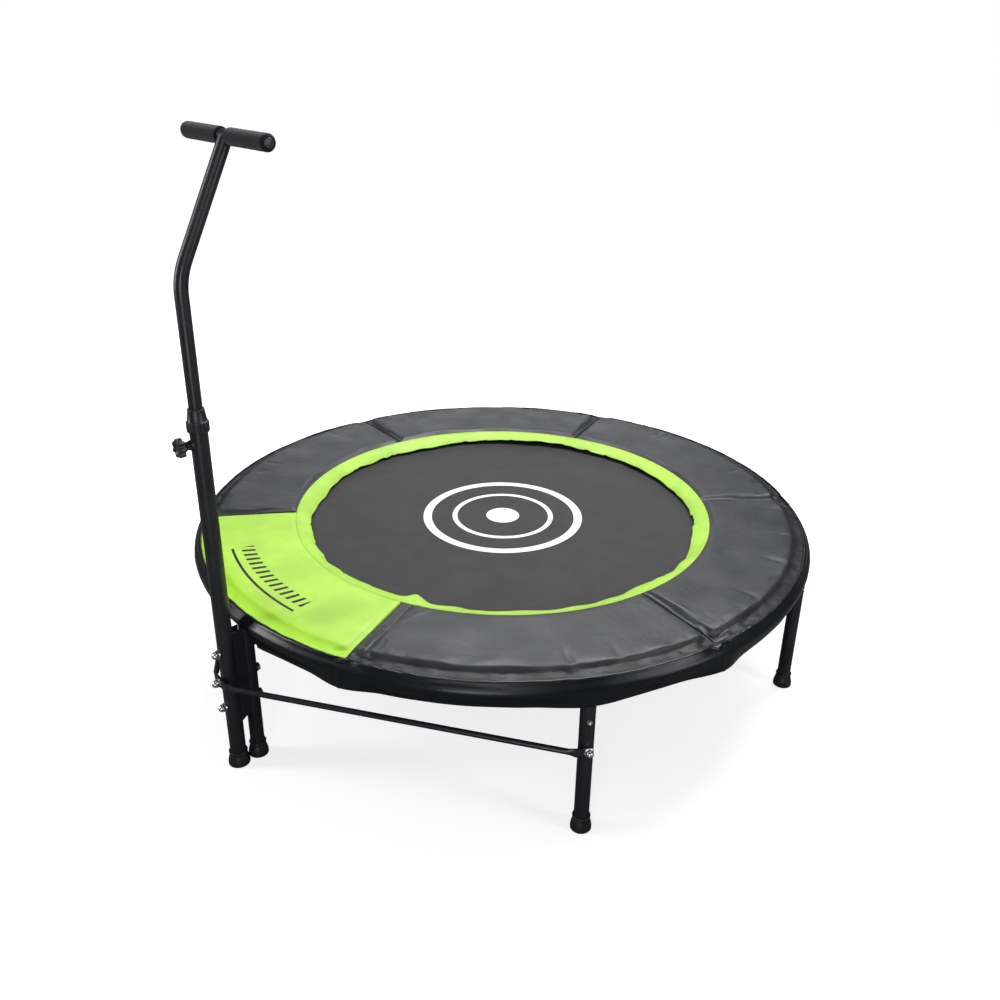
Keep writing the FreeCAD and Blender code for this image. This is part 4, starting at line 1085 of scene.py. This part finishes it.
def make_rings(looks):
    """Wire rings that join the webbing to the springs' hooks."""
    outer = RING_BAR_RADIUS
    inner = outer - WIRE_RING_LENGTH
    half = WIRE_RING_WIDTH / 2
    bend = 0.0022
    corners = []
    for x, y, start in ((outer, half, 0), (inner, half, 90), (inner, -half, 180), (outer, -half, 270)):
        centre_x = x - bend if x == outer else x + bend
        centre_y = y - bend if y > 0 else y + bend
        for x_turned, y_turned in arc(centre_x, centre_y, bend, start, start + 90):
            corners.append((x_turned, y_turned, SPRING_HEIGHT))
    shapes = at_springs(*wire(corners, RING_WIRE, sides=8, closed=True))
    dish(joined("wire_rings", shapes, looks["steel"]), "spring_steel", "mat_rings")


# ---------------------------------------------------------------- feet, grips, knob and collar

LOBES = 7
LOBE_RADIUS = 0.0036
KNOB_VALLEY = 0.0104
KNOB_DISH = 0.0086
RIBS = 18
RIB_RADIUS = 0.0013
RIBBED_HEIGHT = 0.018
SLEEVE_RADII = (0.0150, 0.0128)  # at its foot and near its top


def make_foot(looks, foot, tube):
    """Rubber cap: rolled lip, slim neck, curved flare and a bevelled sole."""
    lowest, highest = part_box(tube)
    tube_radius = (highest.y - lowest.y) / 2
    centre = (lowest + highest) / 2
    centre.z = 0
    foot_low, foot_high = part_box(foot)
    top = foot_high.z
    neck = tube_radius + 0.0016
    flare = tube_radius + 0.0052
    outline = [(0, 0), (flare - 0.0035, 0), (flare - 0.0030, 0.0005)]
    outline += arc(flare - 0.0016, 0.0022, 0.0016, -80, 0, 5)
    outline += [(flare, 0.0055)]
    for share in np.linspace(0.08, 1, 12):
        outline.append((neck + (flare - neck) * (1 - share**1.4), 0.0060 + 0.0160 * share))
    outline += [(neck, top - 0.0052), (neck + 0.0001, top - 0.0038), (neck - 0.0002, top - 0.0034)]
    outline += arc(neck - 0.0005, top - 0.0016, 0.0016, -75, 85, 9)
    outline += [(tube_radius + 0.0001, top), (tube_radius + 0.0001, 0.005), (0, 0.005)]
    vertices, faces = turned_shape(outline, centre, Vector((0, 0, 1)), steps=72)
    for vertex in vertices:
        vertex.y = min(max(vertex.y, foot_low.y), foot_high.y)
    piece = new_piece(f"rubber_{foot}", vertices, faces, looks["rubber"])
    finish_piece(piece, "frame", "foot_rubber", foot)


def make_feet(looks):
    for name in ("front", "front_right", "back_right", "back", "back_left", "front_left"):
        make_foot(looks, f"foot_{name}", f"leg_{name}")
    make_foot(looks, "foot_post", "post_tube")


def make_grip(looks, side_name, side):
    """Foam sleeve, slightly uneven, with a rounded outer end that closes over the bar's plug."""
    bar_low, bar_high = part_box("handle_bar")
    low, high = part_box(f"grip_{side_name}")
    centre = (bar_low + bar_high) / 2
    bar_radius = (bar_high.z - bar_low.z) / 2
    radius = (high.z - low.z) / 2
    start = min(abs(low.x), abs(high.x))
    end = max(abs(low.x), abs(high.x))
    bar_end = bar_high.x
    rounding = 0.005
    outline = [(bar_radius, start), (radius - 0.0024, start)]
    outline += arc(radius - 0.0020, start + 0.0020, 0.0020, -80, 0, 5)
    outline += [(radius, along) for along in np.linspace(start + 0.004, end - rounding - 0.001, 40)]
    outline += arc(radius - rounding, end - rounding, rounding, 0, 84, 8)
    outline += [(radius - rounding, end), (radius - rounding, bar_end), (bar_radius, bar_end)]

    def uneven(reach, angle, along):
        if reach < bar_radius + 0.0005:
            return reach
        place = Vector((math.cos(angle) * 1.2, math.sin(angle) * 1.2, along * 90 + side * 20))
        return reach - 0.00035 * (0.5 + 0.5 * noise.noise(place))

    vertices, faces = turned_shape(outline, centre, Vector((side, 0, 0)), steps=64, reshape=uneven)
    piece = new_piece(f"foam_grip_{side_name}", vertices, faces, looks["grip"])
    finish_piece(piece, "handle", "grip_foam", f"grip_{side_name}")


def make_knob(looks):
    """Star knob with seven rounded lobes, a neck towards the post and a dished face."""
    low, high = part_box("clamp_knob")
    screw_low, screw_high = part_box("clamp_screw")
    centre = Vector((0, POST_Y, (screw_low.z + screw_high.z) / 2))
    tip = high.x
    lobe_centre = tip - LOBE_RADIUS
    neck = POST_Y - high.y
    face = POST_Y - low.y
    start = neck + 0.003
    screw_end = POST_Y - screw_low.y
    screw = (screw_high.z - screw_low.z) / 2 + 0.0001
    outline = [(0, screw_end), (screw, screw_end), (screw, neck)]
    outline += [(0.0066, neck), (0.0070, neck + 0.0004), (0.0070, start - 0.0006), (0.0076, start)]
    outline += [(tip - 0.0024, start)] + arc(tip - 0.0016, start + 0.0016, 0.0016, -70, 0, 5)
    outline += arc(tip - 0.0022, face - 0.0022, 0.0022, 0, 80, 6) + [(KNOB_DISH + 0.0004, face)]
    outline += [(KNOB_DISH, face - 0.0003), (KNOB_DISH - 0.0014, face - 0.0016)]
    outline += [(KNOB_DISH - 0.0020, face - 0.0020), (0, face - 0.0020)]

    def star(reach, angle, _along):
        """Squeezes what is outside the dish in, between the lobes."""
        if reach < KNOB_DISH:
            return reach
        nearest = (angle - 1.5 * math.pi + math.pi / LOBES) % (2 * math.pi / LOBES) - math.pi / LOBES
        across = lobe_centre * math.sin(nearest)
        side = abs(across) / LOBE_RADIUS
        bulge = lobe_centre * math.cos(nearest) + LOBE_RADIUS * math.sqrt(max(1 - side**2, 0))
        edge = bulge if side < 1 else KNOB_VALLEY + 0.0008 * max(1.25 - side, 0)
        return KNOB_DISH + (reach - KNOB_DISH) * (edge - KNOB_DISH) / (tip - KNOB_DISH)

    vertices, faces = turned_shape(outline, centre, Vector((0, -1, 0)), steps=LOBES * 28, reshape=star)
    piece = new_piece("star_knob", vertices, faces, looks["plastic"])
    finish_piece(piece, "knob", "black_plastic", "clamp_knob")


def make_collar(looks):
    """Ribbed ring round the post's top with a tapered sleeve above it."""
    low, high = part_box("collar_nut")
    stem_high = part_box("handle_stem")[1]
    post_low, post_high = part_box("post_tube")
    post = (post_high.x - post_low.x) / 2 + 0.0001
    stem = stem_high.x + 0.0003
    ribbed_top = low.z + RIBBED_HEIGHT
    outer = high.x - RIB_RADIUS
    sleeve_low, sleeve_top = SLEEVE_RADII
    outline = [(post, low.z), (outer - 0.0012, low.z)]
    outline += arc(outer - 0.0008, low.z + 0.0008, 0.0008, -60, 0, 4)
    outline += [(outer, along) for along in np.linspace(low.z + 0.0014, ribbed_top - 0.0014, 9)]
    outline += arc(outer - 0.0008, ribbed_top - 0.0008, 0.0008, 0, 60, 4)
    outline += [(sleeve_low + 0.0002, ribbed_top), (sleeve_low, ribbed_top + 0.0003)]
    outline += [(sleeve_top, high.z - 0.0014)]
    outline += arc(sleeve_top - 0.0006, high.z - 0.0006, 0.0006, 0, 90, 4)
    outline += [(stem, high.z), (stem, ribbed_top + 0.001), (post, ribbed_top + 0.0002)]

    def ribbed(reach, angle, along):
        nearest = (angle + math.pi / RIBS) % (2 * math.pi / RIBS) - math.pi / RIBS
        bump = math.sqrt(max(RIB_RADIUS**2 - (outer * nearest) ** 2, 0))
        ends = min(along - low.z, ribbed_top - along)
        on_side = smooth_step(reach, outer - 0.0006, outer)
        return reach + bump * on_side * smooth_step(ends, 0.0002, 0.0016)

    centre = Vector((0, POST_Y, 0))
    vertices, faces = turned_shape(outline, centre, Vector((0, 0, 1)), steps=RIBS * 14, reshape=ribbed)
    piece = new_piece("ribbed_collar", vertices, faces, looks["plastic"])
    finish_piece(piece, "collar", "black_plastic", "collar_nut")


def dress_cad(looks):
    """Node materials for the CAD parts that stay, by the slot they have in the record."""
    by_slot = {
        "powder_coated_tube": looks["powder"],
        "zinc_fastener": looks["zinc"],
        "black_plastic": looks["plastic"],
    }
    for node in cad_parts.values():
        if not node.hide_render:
            slot = node.material_slots[0]
            slot.material = by_slot[slot.material.name]


# ---------------------------------------------------------------- floor, light and camera

FLOOR_SIZE = 30.0
CAMERA_PLACE = (1.334, -1.259, 1.196)
CAMERA_TURN = 46.85
CAMERA_DOWN = 25.48
CAMERA_ROLL = 0.94
CAMERA_LENS = 35.48


def make_floor():
    """Pale floor: glows bright for the camera, with a soft shadow that is partly rendered and partly painted
    as weaker glow towards the middle; darker in what it reflects onto the object.
    """
    half = FLOOR_SIZE / 2
    corners = [(-half, -half, 0), (half, -half, 0), (half, half, 0), (-half, half, 0)]
    finish = Finish("floor", (0.5, 0.5, 0.5), 0.5)
    distance = finish.node("ShaderNodeVectorMath", {0: finish.place}, operation="LENGTH").outputs["Value"]
    finish.feed("Emission Color", (1, 1, 1, 1))
    # the floor glows for the camera to stay evenly white; the weaker glow towards the middle is painted
    # shadow under the trampoline
    finish.feed("Emission Strength", finish.between(distance, 0.5, 1.3, 0.74, 1.0))
    plain = finish.node("ShaderNodeBsdfDiffuse", {"Color": (0.14, 0.14, 0.14, 1)}).outputs[0]
    seen = finish.node("ShaderNodeLightPath").outputs["Is Camera Ray"]
    chosen = finish.node("ShaderNodeMixShader", {0: seen, 1: plain, 2: finish.surface.outputs[0]})
    finish.connect(finish.tree.nodes["Material Output"].inputs[0], chosen.outputs[0])
    new_piece("floor", corners, [(0, 1, 2, 3)], finish.material)


def make_world():
    """White to the camera, a weak grey light to the object."""
    world = bpy.data.worlds.new("studio")
    world.use_nodes = True
    tree = world.node_tree
    background = tree.nodes["Background"]
    seen = tree.nodes.new("ShaderNodeLightPath")
    strength = tree.nodes.new("ShaderNodeMapRange")
    strength.inputs["To Min"].default_value = 0.1
    strength.inputs["To Max"].default_value = 1.0
    tree.links.new(seen.outputs["Is Camera Ray"], strength.inputs["Value"])
    tree.links.new(strength.outputs[0], background.inputs["Strength"])
    background.inputs["Color"].default_value = (1, 1, 1, 1)
    bpy.context.scene.world = world


def make_light(name, place, size, power, target=(0, 0, 0.3)):
    data = bpy.data.lights.new(name, "AREA")
    data.shape = "RECTANGLE"
    data.size, data.size_y = size
    data.energy = power
    light = bpy.data.objects.new(name, data)
    light.location = place
    light.rotation_mode = "QUATERNION"
    light.rotation_quaternion = (Vector(target) - Vector(place)).to_track_quat("-Z", "Y")
    bpy.context.scene.collection.objects.link(light)


def make_camera():
    data = bpy.data.cameras.new("camera")
    data.lens = CAMERA_LENS
    camera = bpy.data.objects.new("camera", data)
    turn = Matrix.Rotation(math.radians(CAMERA_TURN), 4, "Z")
    tilt = Matrix.Rotation(math.radians(90 - CAMERA_DOWN), 4, "X")
    roll = Matrix.Rotation(math.radians(CAMERA_ROLL), 4, "Z")
    camera.matrix_world = Matrix.Translation(CAMERA_PLACE) @ turn @ tilt @ roll
    bpy.context.scene.collection.objects.link(camera)
    bpy.context.scene.camera = camera


def make_studio():
    make_floor()
    make_world()
    make_light("overhead", (-0.3, 0.9, 2.6), (2.6, 1.6), 105)
    make_light("left_box", (-1.6, -2.4, 1.5), (0.6, 2.0), 38)
    make_light("right_box", (2.9, 0.6, 1.5), (0.6, 2.0), 26)
    make_light("front_box", (2.3, -2.5, 2.4), (1.6, 0.8), 11)
    make_light("back_box", (-2.7, 2.3, 1.35), (3.2, 0.8), 14)
    make_light("low_box", (1.8, -2.15, 0.6), (0.35, 1.1), 15, target=(0, POST_Y, 0.6))
    make_camera()
    bpy.context.scene.view_settings.view_transform = "Standard"


# ---------------------------------------------------------------- all together

def make_looks():
    return {
        "powder": powder_coat(),
        "zinc": zinc(),
        "steel": spring_steel(),
        "rubber": rubber(),
        "plastic": moulded_plastic(),
        "grip": grip_foam(),
        "foam": open_foam(),
        "mat": mat_mesh(),
        "webbing": webbing(),
        "grey": grey_vinyl(),
        "green": green_vinyl(),
        "printed_green": green_vinyl("printed_green_vinyl", printed=True),
        "skirt": skirt_vinyl(),
        "backing": backing_sheet(),
        "green_thread": thread("green_thread", (0.30, 0.62, 0.06)),
        "black_thread": thread("black_thread", (0.03, 0.03, 0.032)),
    }


LOOKS = make_looks()
make_pads(LOOKS)
make_backing(LOOKS)
make_trim(LOOKS)
make_skirt(LOOKS)
make_ties(LOOKS)
make_mat(LOOKS)
make_hem(LOOKS)
make_springs(LOOKS)
make_rings(LOOKS)
make_feet(LOOKS)
make_grip(LOOKS, "left", -1)
make_grip(LOOKS, "right", 1)
make_knob(LOOKS)
make_collar(LOOKS)
dress_cad(LOOKS)
make_studio()
